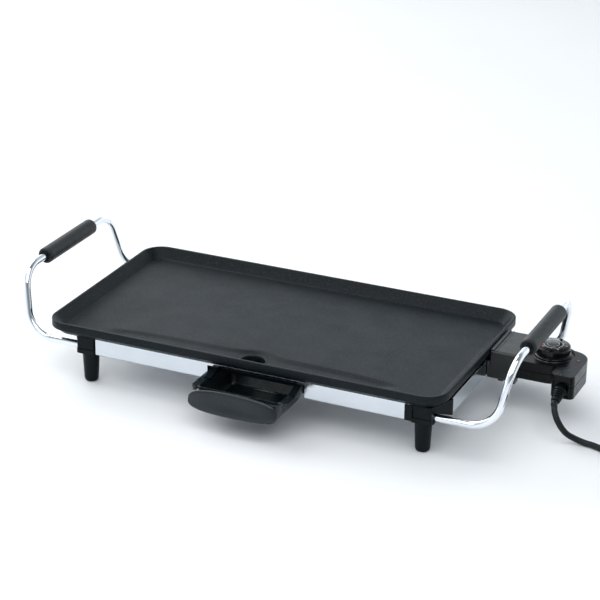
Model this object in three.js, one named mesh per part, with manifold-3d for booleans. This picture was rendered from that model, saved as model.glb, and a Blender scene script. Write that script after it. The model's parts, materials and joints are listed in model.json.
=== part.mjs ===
// Electric table-top griddle with a plug-in thermostat control, in millimetres, +Z up.
// The die-cast plate stands on four legs that also clamp two chrome carrying handles. A grease
// tray slides out of the front skirt, the control pulls out of the guard at the right-hand end,
// and the dial on the control turns. The cord's spare length lies beside the griddle as a coil.

import * as THREE from 'three';
import { mergeVertices } from 'three/addons/utils/BufferGeometryUtils.js';
import Module from 'manifold-3d';

const wasm = await Module();
wasm.setup();

// ---------- driving dimensions ----------

const GAP = 0.3; // between pieces that touch

// Cooking plate. x and y are its centre, seen from the middle of the four legs.
const PLATE = {
  x: -11, y: -3, length: 486, depth: 266, corner: 28,
  rim: 74, band: 9.5, lip: 4, floor: 62, underside: 57.5, flare: 9,
  drain: { x: -4, y: -104, radius: 13.5, collar: 16.5, bottom: 53.5 },
  gutter: { x: -9, y: -105, length: 352, width: 34, depth: 1.6, slope: 6 },
};

// Legs: a block under each corner of the plate, and a tapered post screwed up into it.
const LEG = { x: 205, y: 114, side: 22.5, outset: 1.2, seam: 42, flange: 6, top: 10, foot: 8.4 };

// Handle rods, clamped between block and post.
const ROD = { radius: 4, z: 41.8, low: 284.5, high: 299, top: 116, y: 99, lowBend: 34, topBend: 30 };
const GRIP = { radius: 9.5, length: 108, bore: 4.7, recess: 6.4, recessDepth: 3 };

// Sheet-steel skirt.
const SKIRT = {
  front: 125, end: 229, sheet: 1, bottom: 37, top: 57.1, return: 9, halfLength: 193, halfDepth: 89,
};

// Grease tray and its guide, centred on x.
const TRAY = {
  x: 12, front: -172, back: -86, bottom: 21, rim: 48.8, floorHalf: 43.5, topHalf: 50.5,
  flangeHalf: 55.5, flange: 2.3, wall: 2.2, lipX: 5, lipHalf: 54, lipHeight: 27, lipTilt: 0.3,
};

// Guard that the control plugs into.
const GUARD = { x0: 229.8, x1: 263, y0: 18, y1: 82, bottom: 36, top: 70, wall: 3, screws: 25 };

// Plug-in control. axis is the height of its probe, and also where its two shells meet.
const CONTROL = {
  y: 49.5, axis: 53, nose: 241, body: 263.6, dialX: 296, bottom: 42, top: 64, wall: 2.2,
  half: 29.5, endX0: 310.5, endX1: 337, endY0: -3, endY1: 68, endTop: 66, pins: 11,
};
const LAMP = { x: 328, y: 42.5 };
const KNOB = { base: 21, top: 19.8, bottom: 64.5, height: 13 };

// Mains cord.
const CORD = { radius: 3.5, coilX: 457.2, coilY: -100.6, coilMid: 38.8, coilHalf: 9.2, coilHeight: 14.4 };
const PLUG = {
  x: 501.7, y: -67.6, width: 24, length: 34, height: 24, neck: 15,
  entryZ: 11.5, bladeZ: 15.5, earthZ: 5, pitch: 12.7,
};

// ---------- materials ----------

const paint = (color, roughness, metalness) =>
  new THREE.MeshStandardMaterial({ color, roughness, metalness });
const look = {
  coating: () => paint(0x2b2d2f, 0.5, 0.1),
  blackPlastic: () => paint(0x23282c, 0.45, 0),
  glossPlastic: () => paint(0x15181a, 0.25, 0),
  chrome: () => paint(0xe4e8ee, 0.08, 1),
  polished: () => paint(0xc8ced8, 0.18, 1),
  aluminium: () => paint(0xb6b9bd, 0.4, 1),
  steel: () => paint(0x9a9c9f, 0.35, 1),
  brass: () => paint(0xc9a24e, 0.3, 1),
  element: () => paint(0x55524f, 0.6, 0.7),
  ceramic: () => paint(0xe8e1d2, 0.7, 0),
  lens: () => paint(0xc2421f, 0.2, 0),
  print: () => paint(0xb9bcc0, 0.4, 0.5),
  cord: () => paint(0x202326, 0.6, 0),
};

// ---------- solids ----------

// Turns a closed geometry into a solid that can be joined and cut.
function solid(geometry) {
  const bare = geometry.clone();
  bare.deleteAttribute('normal');
  bare.deleteAttribute('uv');
  const merged = mergeVertices(bare, 1e-4);
  return new wasm.Manifold(new wasm.Mesh({
    numProp: 3,
    vertProperties: new Float32Array(merged.attributes.position.array),
    triVerts: new Uint32Array(merged.index.array),
  }));
}

// Turns a solid back into a geometry.
function surface(body) {
  const result = body.getMesh();
  const geometry = new THREE.BufferGeometry();
  geometry.setAttribute('position', new THREE.BufferAttribute(new Float32Array(result.vertProperties), 3));
  geometry.setIndex(new THREE.BufferAttribute(new Uint32Array(result.triVerts), 1));
  geometry.computeVertexNormals();
  return geometry;
}

const join = (...bodies) => bodies.reduce((whole, body) => whole.add(body));
const cut = (body, ...tools) => tools.reduce((rest, tool) => rest.subtract(tool), body);

// A box between two corners.
function box(x0, x1, y0, y1, z0, z1) {
  const geometry = new THREE.BoxGeometry(x1 - x0, y1 - y0, z1 - z0);
  return solid(geometry.translate((x0 + x1) / 2, (y0 + y1) / 2, (z0 + z1) / 2));
}

// A rectangle with round corners, centred on (x, y).
function roundedRect(width, depth, radius, x = 0, y = 0) {
  const [w, d] = [width / 2 - radius, depth / 2 - radius];
  const shape = new THREE.Shape();
  shape.absarc(x + w, y + d, radius, 0, Math.PI / 2);
  shape.absarc(x - w, y + d, radius, Math.PI / 2, Math.PI);
  shape.absarc(x - w, y - d, radius, Math.PI, Math.PI * 1.5);
  shape.absarc(x + w, y - d, radius, Math.PI * 1.5, Math.PI * 2);
  shape.closePath();
  return shape;
}

// An outline given as points.
const outline = (...points) => new THREE.Shape(points.map(([x, y]) => new THREE.Vector2(x, y)));

// A shape drawn in X and Y, raised from z0 to z1, with an optional bevel inside its outline.
function prism(shape, z0, z1, bevel = 0, curveSegments = 6) {
  const geometry = new THREE.ExtrudeGeometry(shape, {
    depth: z1 - z0 - 2 * bevel, bevelEnabled: bevel > 0, bevelThickness: bevel,
    bevelSize: bevel, bevelOffset: -bevel, bevelSegments: 1, curveSegments,
  });
  return solid(geometry.translate(0, 0, z0 + bevel));
}

// A shape drawn in Y and Z, drawn out from x0 to x1.
function prismX(shape, x0, x1) {
  const options = { depth: x1 - x0, bevelEnabled: false, curveSegments: 3 };
  const geometry = new THREE.ExtrudeGeometry(shape, options);
  const turn = new THREE.Matrix4().set(0, 0, 1, x0, 1, 0, 0, 0, 0, 1, 0, 0, 0, 0, 0, 1);
  return solid(geometry.applyMatrix4(turn));
}

// A shape drawn in X and Z, drawn out from y0 to y1.
function prismY(shape, y0, y1) {
  const options = { depth: y1 - y0, bevelEnabled: false, curveSegments: 4 };
  const geometry = new THREE.ExtrudeGeometry(shape, options);
  return solid(geometry.rotateX(Math.PI / 2).translate(0, y1, 0));
}

// A rounded rectangle that widens by grow between z0 and z1, and stays that wide up to zTop.
function flared(width, depth, radius, grow, x, y, z0, z1, zTop) {
  const geometry = new THREE.ExtrudeGeometry(roundedRect(width, depth, radius, x, y), {
    depth: zTop - z1, bevelEnabled: true, bevelThickness: z1 - z0, bevelSize: grow,
    bevelSegments: 1, curveSegments: 5,
  });
  return solid(geometry.translate(0, 0, z1));
}

// A round bar, tapered if the two radii differ, between two points.
function bar(from, to, radius, radiusTo = radius, sides = 16) {
  const [start, end] = [new THREE.Vector3(...from), new THREE.Vector3(...to)];
  const along = end.clone().sub(start);
  const middle = start.clone().add(end).multiplyScalar(0.5);
  const geometry = new THREE.CylinderGeometry(radiusTo, radius, along.length(), sides);
  const turn = new THREE.Quaternion().setFromUnitVectors(new THREE.Vector3(0, 1, 0), along.normalize());
  return solid(geometry.applyQuaternion(turn).translate(...middle.toArray()));
}

// A turned piece about Z, from points of radius and height.
function turned(profile, segments = 24) {
  const points = profile.map(([radius, z]) => new THREE.Vector2(radius, z));
  return new THREE.LatheGeometry(points, segments).rotateX(Math.PI / 2);
}

// Stations along straight stretches whose corners are rounded off.
function roundedPath(corners, radii, segments = 5) {
  const points = corners.map((corner) => new THREE.Vector3(...corner));
  const stations = [points[0]];
  for (let i = 1; i < points.length - 1; i += 1) {
    const back = points[i - 1].clone().sub(points[i]).normalize();
    const ahead = points[i + 1].clone().sub(points[i]).normalize();
    const reach = radii[i - 1] / Math.tan(back.angleTo(ahead) / 2);
    const enter = points[i].clone().addScaledVector(back, reach);
    const leave = points[i].clone().addScaledVector(ahead, reach);
    const bend = new THREE.CubicBezierCurve3(
      enter,
      enter.clone().addScaledVector(back, -reach * 0.552),
      leave.clone().addScaledVector(ahead, -reach * 0.552),
      leave,
    );
    stations.push(...bend.getPoints(segments));
  }
  return [...stations, points.at(-1)];
}

// A line through stations, which gives a tube one ring at each of them.
class StationLine extends THREE.Curve {
  constructor(stations) {
    super();
    this.stations = stations;
  }

  getPoint(t) {
    const place = t * (this.stations.length - 1);
    const index = Math.min(Math.floor(place), this.stations.length - 2);
    return this.stations[index].clone().lerp(this.stations[index + 1], place - index);
  }

  getPointAt(u) {
    return this.getPoint(u);
  }

  getTangentAt(u) {
    return this.getTangent(u);
  }
}

// A round section drawn along stations.
function tube(stations, radius, sides = 10) {
  const section = new THREE.Shape();
  for (let i = 0; i < sides; i += 1) {
    const angle = (i / sides) * Math.PI * 2;
    const [x, y] = [Math.cos(angle) * radius, Math.sin(angle) * radius];
    if (i === 0) {
      section.moveTo(x, y);
    } else {
      section.lineTo(x, y);
    }
  }
  section.closePath();
  return new THREE.ExtrudeGeometry(section, {
    steps: stations.length - 1, extrudePath: new StationLine(stations), bevelEnabled: false,
  });
}

// ---------- assembly ----------

const group = new THREE.Group();

function add(name, shape, material) {
  const geometry = shape.isBufferGeometry ? shape : surface(shape);
  const mesh = new THREE.Mesh(geometry, material());
  mesh.name = name;
  group.add(mesh);
  return mesh;
}

const ends = [['left', -1], ['right', 1]];
const corners = [
  ['front_left', -1, -1], ['front_right', 1, -1], ['rear_left', -1, 1], ['rear_right', 1, 1],
];

// Cooking plate: a shallow flared pan with a hanging rim band, and a gutter that falls to a drain.
function plate() {
  const { x, y, length, depth, corner, rim, band, lip, floor, underside, flare, drain, gutter } = PLATE;
  const { slope } = gutter;
  const inset = lip + flare;
  const bandBottom = rim - band;
  const collar = (radius, z0, z1) => bar([drain.x, drain.y, z0], [drain.x, drain.y, z1], radius, radius, 24);
  return cut(
    join(
      prism(roundedRect(length, depth, corner, x, y), bandBottom, rim, 1.2),
      flared(length - 22, depth - 22, corner - 10, 8, x, y, underside, bandBottom, bandBottom + 1),
      collar(drain.collar, drain.bottom, floor - 1),
    ),
    flared(length - 2 * inset, depth - 2 * inset, 14, flare, x, y, floor, rim, rim + 10),
    flared(
      gutter.length - 2 * slope, gutter.width - 2 * slope, slope, slope,
      gutter.x, gutter.y, floor - gutter.depth, floor, floor + 1,
    ),
    collar(drain.radius, 40, rim),
  );
}
add('griddle_plate', plate(), look.coating);

// Tubular heating element under the plate, with its two terminal pins.
function element() {
  const [near, far] = [CONTROL.y - CONTROL.pins, CONTROL.y + CONTROL.pins];
  const [turnX, leftX, frontY, backY, z] = [180, -205, -60, 88, CONTROL.axis];
  const path = roundedPath([
    [225, near, z], [turnX, near, z], [turnX, frontY, z], [leftX, frontY, z],
    [leftX, backY, z], [turnX, backY, z], [turnX, far, z], [225, far, z],
  ], [20, 25, 25, 25, 12, 12]);
  return tube(path, 3.5, 8);
}
add('heating_element', element(), look.element);
for (const [name, side] of [['front', -1], ['rear', 1]]) {
  const y = CONTROL.y + side * CONTROL.pins;
  const pin = join(
    bar([225 + GAP, y, CONTROL.axis], [253, y, CONTROL.axis], 2.4, 2.4, 12),
    bar([253, y, CONTROL.axis], [255, y, CONTROL.axis], 2.4, 1.4, 12),
  );
  add(`terminal_pin_${name}`, pin, look.steel);
}

// Socket block under the plate that the probe's tip slides into.
function sensorSocket() {
  const { y, axis } = CONTROL;
  const body = box(192, 222, y - 6.5, y + 6.5, 46.5, PLATE.underside - GAP);
  return cut(body, bar([195, y, axis], [230, y, axis], 3.6));
}
add('sensor_socket', sensorSocket(), look.aluminium);

// Mirrors a front-right piece to another corner.
function place(body, sx, sy) {
  let result = body;
  if (sx < 0) {
    result = result.mirror([1, 0, 0]);
  }
  if (sy > 0) {
    result = result.mirror([0, 1, 0]);
  }
  return result;
}

// Leg blocks, each with a wing that runs back along the end skirt.
function legBlock(sx, sy) {
  const { x, y, side, outset, seam } = LEG;
  const top = SKIRT.top;
  const [inner, outer] = [x + outset - side / 2, x + outset + side / 2];
  const [wingStart, wingEnd] = [-y - 11, -91];
  const wing = prism(outline(
    [outer - 4, wingStart], [outer, wingStart], [SKIRT.end + 1.4, wingEnd], [SKIRT.end - 2.6, wingEnd],
  ), seam - 6, top);
  const slope = prismX(outline(
    [wingStart - 2, seam - 8], [wingEnd + 1, seam - 8], [wingEnd + 1, seam - 5], [wingStart - 2, seam + 13],
  ), inner - 5, SKIRT.end + 10);
  const block = cut(
    join(
      prism(roundedRect(side, side, 2, x + outset, -y), seam + GAP, top, 0, 3),
      cut(wing, slope),
    ),
    bar([x + 3, -y, ROD.z], [outer + 12, -y, ROD.z], ROD.radius + 0.5, ROD.radius + 0.5, 12),
    bar([x, -y, seam - 5], [x, -y, top - 3], 2.3, 2.3, 12),
  );
  return place(block, sx, sy);
}

// Leg posts: a square flange under the block, and a tapered foot with a bore for the screw.
function legPost(sx, sy) {
  const { x, y, side, outset, seam, flange, top, foot } = LEG;
  const shaft = turned([
    [0, 0], [foot - 2.2, 0], [foot, 2.2], [top, seam - flange + 1], [0, seam - flange + 1],
  ], 18);
  const body = cut(
    join(
      prism(roundedRect(side + 1.6, side + 1.6, 2.6, x + outset - 0.4, -y), seam - flange, seam, 0, 3),
      solid(shaft.translate(x, -y, 0)),
    ),
    bar([x + 3, -y, ROD.z], [x + 20, -y, ROD.z], ROD.radius + 0.5, ROD.radius + 0.5, 12),
    bar([x, -y, -1], [x, -y, 24], 4.2, 4.2, 12),
    bar([x, -y, 20], [x, -y, seam + 1], 2.3, 2.3, 12),
  );
  return place(body, sx, sy);
}

function legScrew(sx, sy) {
  const { x, y } = LEG;
  const body = join(
    bar([x, -y, 21], [x, -y, 23.7], 3.6, 3.6, 12),
    bar([x, -y, 23], [x, -y, 53], 1.9, 1.9, 12),
  );
  return place(cut(body, box(x - 3, x + 3, -y - 0.5, -y + 0.5, 20, 22)), sx, sy);
}

for (const [name, sx, sy] of corners) {
  add(`leg_block_${name}`, legBlock(sx, sy), look.blackPlastic);
  add(`leg_post_${name}`, legPost(sx, sy), look.blackPlastic);
  add(`leg_screw_${name}`, legScrew(sx, sy), look.steel);
}

// Carrying handles: a bent chrome rod with a black sleeve.
for (const [name, side] of ends) {
  const { radius, z, low, high, top, y, lowBend, topBend } = ROD;
  const path = roundedPath([
    [side * (LEG.x + 3.3), -LEG.y, z], [side * low, -LEG.y, z], [side * high, -y, top],
    [side * high, y, top], [side * low, LEG.y, z], [side * (LEG.x + 3.3), LEG.y, z],
  ], [lowBend, topBend, topBend, lowBend], 6);
  add(`handle_rod_${name}`, tube(path, radius), look.chrome);

  const { length, bore, recess, recessDepth } = GRIP;
  const half = length / 2;
  const sleeve = turned([
    [bore, -half + recessDepth], [recess, -half + recessDepth], [recess, -half], [GRIP.radius - 1.2, -half],
    [GRIP.radius, -half + 1.6], [GRIP.radius, half - 1.6], [GRIP.radius - 1.2, half], [recess, half],
    [recess, half - recessDepth], [bore, half - recessDepth], [bore, -half + recessDepth],
  ], 16);
  add(`handle_grip_${name}`, sleeve.rotateX(Math.PI / 2).translate(side * high, 0, top), look.blackPlastic);
}

// Skirt panels: thin sheet with a return along the bottom edge.
function longPanel(side) {
  const { front, sheet, bottom, top, halfLength } = SKIRT;
  const panel = join(
    box(-halfLength, halfLength, -front, -front + sheet, bottom, top),
    box(-halfLength, halfLength, -front, -front + SKIRT.return, bottom, bottom + sheet),
  );
  const half = TRAY.flangeHalf + 1;
  const opening = box(TRAY.x - half, TRAY.x + half, -140, -100, 20, top - 1.6);
  return side < 0 ? cut(panel, opening) : panel.mirror([0, 1, 0]);
}
add('skirt_front', longPanel(-1), look.polished);
add('skirt_rear', longPanel(1), look.polished);

function endPanel(side) {
  const { end, sheet, bottom, top, halfDepth } = SKIRT;
  const panel = join(
    box(end - sheet, end, -halfDepth, halfDepth, bottom, top),
    box(end - SKIRT.return, end, -halfDepth, halfDepth, bottom, bottom + sheet),
  );
  const { y, axis } = CONTROL;
  const screwHoles = [-GUARD.screws, GUARD.screws].map((offset) =>
    bar([end - 5, y + offset, axis], [end + 5, y + offset, axis], 2, 2, 10));
  const openings = join(box(end - 5, end + 5, y - 16, y + 16, axis - 5, top + 1), ...screwHoles);
  return side > 0 ? cut(panel, openings) : panel.mirror([1, 0, 0]);
}
add('skirt_left', endPanel(-1), look.polished);
add('skirt_right', endPanel(1), look.polished);

// Reflector sheet that rests on the skirt's returns, with a notch over the grease tray.
function reflector() {
  const z = SKIRT.bottom + SKIRT.sheet + GAP;
  const half = TRAY.flangeHalf + 6;
  const cross = (length, depth, inset, z0, z1) =>
    box(inset - length, length - inset, inset - depth, depth - inset, z0, z1);
  const sheet = (inset, z0, z1) => join(
    cross(SKIRT.halfLength - 4, SKIRT.front - 3, inset, z0, z1),
    cross(SKIRT.end - 4, SKIRT.halfDepth - 2, inset, z0, z1),
  );
  return cut(
    join(
      sheet(0, z, z + 0.8),
      cut(sheet(6, z, z + 5), sheet(6.8, z - 1, z + 6)),
    ),
    box(TRAY.x - half, TRAY.x + half, -130, -72, 30, 60),
  );
}
add('reflector', reflector(), look.aluminium);

// Tray guide: two channels joined across the back and the front, and two arms outside the skirt.
function trayGuide() {
  const { x, rim, flangeHalf, flange, topHalf } = TRAY;
  const [wall0, wall1] = [flangeHalf + 0.6, flangeHalf + 3.6];
  const [lower, upper, top] = [rim - flange - 3.4, rim + 0.5, rim + 3.3];
  const [front, back] = [-SKIRT.front + 1.4, -80];
  const arm = outline(
    [-147, upper], [-120, upper], [-120, SKIRT.top - 2], [-128, SKIRT.top - 2], [-147, upper + 1.4],
  );
  const rail = (side) => {
    const at = (from, to, ...rest) =>
      (side > 0 ? box(x + from, x + to, ...rest) : box(x - to, x - from, ...rest));
    const reach = side > 0 ? [x + topHalf - 3, x + flangeHalf] : [x - flangeHalf, x - topHalf + 3];
    return join(
      at(wall0, wall1, front, back, lower, top),
      at(topHalf - 3, wall1, front, back, upper, top),
      at(topHalf + 1.2, wall1, front, back, lower, rim - flange - 0.5),
      prismX(arm, ...reach),
    );
  };
  return join(
    rail(-1),
    rail(1),
    box(x - wall1, x + wall1, back, back + 3, lower, top),
    box(x - wall1, x + wall1, front, front + 2, upper, top + 2),
  );
}
add('tray_guide', trayGuide(), look.blackPlastic);

// Inlet guard: a box open to the right that covers the terminals.
function guard() {
  const { x0, x1, y0, y1, bottom, top, wall } = GUARD;
  const clear = PLATE.x + PLATE.length / 2 + 1;
  const { y, axis, pins } = CONTROL;
  const hole = (offset, radius) =>
    bar([x0 - 5, y + offset, axis], [x1, y + offset, axis], radius, radius, 12);
  const shell = join(
    prismX(roundedRect(y1 - y0, top - bottom, 2.5, (y0 + y1) / 2, (bottom + top) / 2), clear, x1),
    box(x0, clear + 1, y0 + 1, y1 - 1, bottom + 1, SKIRT.top - 0.5),
    box(clear, clear + 3.5, y0 + 1, y1 - 1, top - 1, top + 1.3),
    box(x1 - 7, x1, y0 + 1, y0 + 12, bottom - 2, bottom + 1),
    box(x1 - 7, x1, y1 - 12, y1 - 1, bottom - 2, bottom + 1),
  );
  return cut(
    shell,
    box(clear + 4, x1 + 5, y0 + wall, y1 - wall, bottom + wall, top - wall),
    hole(0, 3.8),
    hole(-pins, 3.2),
    hole(pins, 3.2),
    hole(-GUARD.screws, 1.9),
    hole(GUARD.screws, 1.9),
  );
}
add('inlet_guard', guard(), look.blackPlastic);
for (const [name, offset] of [['front', -GUARD.screws], ['rear', GUARD.screws]]) {
  const y = CONTROL.y + offset;
  const inner = PLATE.x + PLATE.length / 2 + 5;
  const screw = join(
    bar([GUARD.x0 - 3, y, CONTROL.axis], [inner + 1, y, CONTROL.axis], 1.6, 1.6, 10),
    bar([inner + GAP, y, CONTROL.axis], [inner + 2, y, CONTROL.axis], 2.9, 2.5, 10),
  );
  add(`guard_screw_${name}`, screw, look.steel);
}

// Grease tray with its oval pull.
function greaseTray() {
  const { x, front, back, bottom, rim, floorHalf, topHalf, flangeHalf, flange, wall } = TRAY;
  const section = (inset) => {
    const [low, high] = [floorHalf - inset, topHalf - inset];
    const shape = new THREE.Shape();
    shape.moveTo(x - high, rim + (inset > 0 ? 5 : 0));
    shape.lineTo(x - low - 1, bottom + 5 + inset);
    shape.quadraticCurveTo(x - low, bottom + inset, x - low + 5, bottom + inset);
    shape.lineTo(x + low - 5, bottom + inset);
    shape.quadraticCurveTo(x + low, bottom + inset, x + low + 1, bottom + 5 + inset);
    shape.lineTo(x + high, rim + (inset > 0 ? 5 : 0));
    shape.closePath();
    return shape;
  };
  const behind = (inset) => prismX(outline(
    [back - 12 - inset, bottom - 5], [back + 20, bottom - 5], [back + 20, rim + 9], [back - inset, rim + 9],
  ), x - 100, x + 100);
  const lip = new THREE.Shape();
  lip.absellipse(0, 0, TRAY.lipHalf, TRAY.lipHeight / 2, 0, Math.PI * 2);
  const pull = new THREE.ExtrudeGeometry(lip, {
    depth: 3, bevelEnabled: true, bevelThickness: 1.5, bevelSize: 1.5, bevelOffset: -1.5,
    bevelSegments: 1, curveSegments: 14,
  });
  pull.rotateX(Math.PI / 2 - TRAY.lipTilt).translate(TRAY.lipX, front - 2, bottom + TRAY.lipHeight / 2 + 1.5);
  const tray = cut(
    join(
      cut(prismY(section(0), front, back), behind(0)),
      box(x - flangeHalf, x + flangeHalf, front + 4, back - 2, rim - flange, rim),
    ),
    cut(prismY(section(wall), front + wall, back - wall), behind(wall)),
  );
  const ribs = box(TRAY.lipX - 40, TRAY.lipX + 44, front - 2, front + 1, bottom + 6, bottom + 24);
  return join(tray, ribs, solid(pull));
}
add('grease_tray', greaseTray(), look.blackPlastic);

// Control housing in plan: nose, body, round dial seat and end block, all drawn in by inset.
function controlPlan(inset, z0, z1, endTop) {
  const { y, nose, body, dialX, half, endX0, endX1, endY0, endY1 } = CONTROL;
  const length = endY1 - endY0 - 2 * inset;
  const width = endX1 - endX0 - 2 * inset;
  return join(
    box(nose + inset, body + 10, y - 26 + inset, y + 26 - inset, z0 + 1, z1 - 1),
    box(body + inset, dialX, y - half + inset, y + half - inset, z0, z1),
    bar([dialX, y, z0], [dialX, y, z1], half - inset, half - inset, 28),
    box(dialX, endX0 + 12, y - 20 + inset, y + 14 - inset, z0, z1),
    prism(roundedRect(width, length, 12 - inset, (endX0 + endX1) / 2, (endY0 + endY1) / 2), z0, endTop, 0, 4),
  );
}

const controlScrews = [
  ['front', 270, 25, CONTROL.top], ['rear', 270, 74, CONTROL.top], ['end', 324, 59, CONTROL.endTop],
];

// The relief leaves the end block at exit, along this direction.
const EXIT = new THREE.Vector3(323, CONTROL.endY0, 49.5);
const DROOP = new THREE.Vector3(0, -0.945, -0.327).normalize();
const alongExit = (distance) => EXIT.clone().addScaledVector(DROOP, distance).toArray();

function controlHalf(upper) {
  const { y, axis, bottom, top, endTop, wall, dialX, nose, pins } = CONTROL;
  const z = upper ? axis + 0.15 : axis - 0.15;
  const shell = upper
    ? cut(controlPlan(0, z, top, endTop), controlPlan(wall, z - 2, top - wall, endTop - wall))
    : cut(controlPlan(0, bottom, z, z), controlPlan(wall, bottom + wall, z + 2, z + 2));
  const posts = controlScrews.map(([, px, py, roof]) => (upper
    ? bar([px, py, z], [px, py, roof - 1], 3.6, 3.6, 12)
    : bar([px, py, bottom + 1], [px, py, z], 3.9, 3.9, 12)));
  const bores = controlScrews.flatMap(([, px, py]) => [
    bar([px, py, bottom - 1], [px, py, top - 4], 1.4, 1.4, 10),
    bar([px, py, bottom - 1], [px, py, bottom + 2.4], 3.1, 3.1, 12),
  ]);
  const noseHoles = [0, -pins, pins].map((offset) =>
    bar([nose - 3, y + offset, axis], [nose + 5, y + offset, axis], 3.4, 3.4, 12));
  const reliefHole = bar(alongExit(-6), alongExit(6), 5.3);
  const cuts = [...bores, ...noseHoles, reliefHole];
  if (upper) {
    cuts.push(
      bar([dialX, y, top - 4], [dialX, y, top + 2], 4.2),
      bar([dialX, y, top], [dialX, y, endTop + 1], KNOB.base + 3.8, KNOB.base + 3.8, 28),
      bar([LAMP.x, LAMP.y, endTop - 4], [LAMP.x, LAMP.y, endTop + 1], 2.9, 2.9, 12),
    );
  }
  return cut(join(shell, ...posts), ...cuts);
}
add('control_upper_shell', controlHalf(true), look.blackPlastic);
add('control_lower_shell', controlHalf(false), look.blackPlastic);

for (const [name, x, y] of controlScrews) {
  const z = CONTROL.bottom;
  const screw = join(
    bar([x, y, z + 0.2], [x, y, z + 2.1], 2.6, 2.6, 12),
    bar([x, y, z + 2], [x, y, z + 16], 1.1, 1.1, 8),
  );
  add(`control_screw_${name}`, screw, look.steel);
}

// Probe, contacts and thermostat inside the control.
function probe() {
  const { y, axis, body } = CONTROL;
  return join(
    bar([200, y, axis], [203, y, axis], 1.8, 3, 12),
    bar([203, y, axis], [body + 4, y, axis], 3, 3, 12),
    bar([body - 14, y, axis], [body - 11, y, axis], 4.6, 4.6, 12),
  );
}
add('temperature_probe', probe(), look.steel);
for (const [name, side] of [['front', -1], ['rear', 1]]) {
  const y = CONTROL.y + side * CONTROL.pins;
  const sleeve = turned([[2.9, 0], [4.4, 0], [4.4, 18], [2.9, 18], [2.9, 0]], 12);
  sleeve.rotateY(Math.PI / 2).translate(CONTROL.nose + 3, y, CONTROL.axis);
  add(`contact_socket_${name}`, sleeve, look.brass);
}
function thermostat() {
  const { dialX, y } = CONTROL;
  return box(dialX - 13, dialX + 13, y - 13, y + 13, 45, 56);
}
add('thermostat_switch', thermostat(), look.ceramic);

// Dial: knob, printed face, spindle and a bright ring round its seat.
const dialAt = (geometry) => geometry.translate(CONTROL.dialX, CONTROL.y, 0);
function knob() {
  const { base, top, bottom, height } = KNOB;
  const body = turned([
    [0, bottom], [base, bottom], [base, bottom + 2.4], [base - 0.8, bottom + 3], [top, bottom + height - 1],
    [top - 1, bottom + height], [0, bottom + height],
  ], 30);
  const pocket = turned([
    [0, bottom - 1], [3.4, bottom - 1], [3.4, bottom + height - 3], [0, bottom + height - 3],
  ], 12);
  return cut(solid(dialAt(body)), solid(dialAt(pocket)));
}
add('dial_knob', knob(), look.glossPlastic);
const faceZ = KNOB.bottom + KNOB.height + GAP;
const dialFace = turned([[0, faceZ], [17.6, faceZ], [17.6, faceZ + 0.5], [0, faceZ + 0.5]], 28);
add('dial_face', dialAt(dialFace), look.print);
const spindle = turned([[0, 56.4], [2.9, 56.4], [2.9, 74], [0, 74]], 12);
add('dial_spindle', dialAt(spindle), look.steel);
const ringZ = CONTROL.top + GAP;
const trimRing = turned([
  [21.8, ringZ], [24.2, ringZ], [23.6, ringZ + 1.2], [21.8, ringZ + 1.2], [21.8, ringZ],
], 32);
add('dial_trim_ring', dialAt(trimRing), look.chrome);

// Pilot light.
const lens = turned([[0, 63.2], [2.5, 63.2], [2.5, 66.2], [1.6, 67], [0, 67]], 12);
add('pilot_lens', lens.translate(LAMP.x, LAMP.y, 0), look.lens);
add('neon_lamp', bar([LAMP.x, LAMP.y, 50], [LAMP.x, LAMP.y, 62.6], 2.4, 2.4, 10), look.lens);

// ---------- cord ----------

const reliefLength = 20;
function strainRelief() {
  return join(
    bar(alongExit(-6.6), alongExit(-5), 6.2, 6.2, 16),
    bar(alongExit(-5.2), alongExit(3.5), 4.6, 4.6, 16),
    bar(alongExit(3.4), alongExit(9), 7.4, 6.4, 16),
    bar(alongExit(9), alongExit(reliefLength), 6.4, 4.8, 16),
  );
}
add('strain_relief', strainRelief(), look.blackPlastic);

// Route from the relief down to the table and along it to the side of the coil.
const route = [
  alongExit(reliefLength + GAP), alongExit(reliefLength + 3.8),
  [324.2, -26.8, 39.1], [325.2, -29.4, 36.7], [329.1, -33.5, 29.8], [332.2, -34.8, 25.3], [335.9, -35, 20],
  [342.1, -32.7, 12.5], [350.9, -29.1, 6.9], [361, -28, 3.9], [371, -29.5, 3.65], [381, -33, 3.6],
  [392.7, -37.5, 3.6], [403.3, -46.4, 3.6], [410.3, -58.4, 3.6], [412.4, -66, 3.6], [412.7, -74.1, 3.6],
].map((point) => new THREE.Vector3(...point));
const line = new THREE.CatmullRomCurve3(route, false, 'centripetal');
add('power_cord', tube(line.getSpacedPoints(44), CORD.radius, 8), look.cord);

function coil() {
  const { coilX, coilY, coilMid, coilHalf, coilHeight } = CORD;
  const [inner, outer] = [coilMid - coilHalf, coilMid + coilHalf];
  const ring = turned([
    [inner, 2], [inner + 2, 0], [outer - 2, 0], [outer, 2],
    [outer, coilHeight - 2], [outer - 2, coilHeight], [inner + 2, coilHeight], [inner, coilHeight - 2],
    [inner, 2],
  ], 32);
  return ring.translate(coilX, coilY, 0);
}
add('cord_coil', coil(), look.cord);

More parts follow.
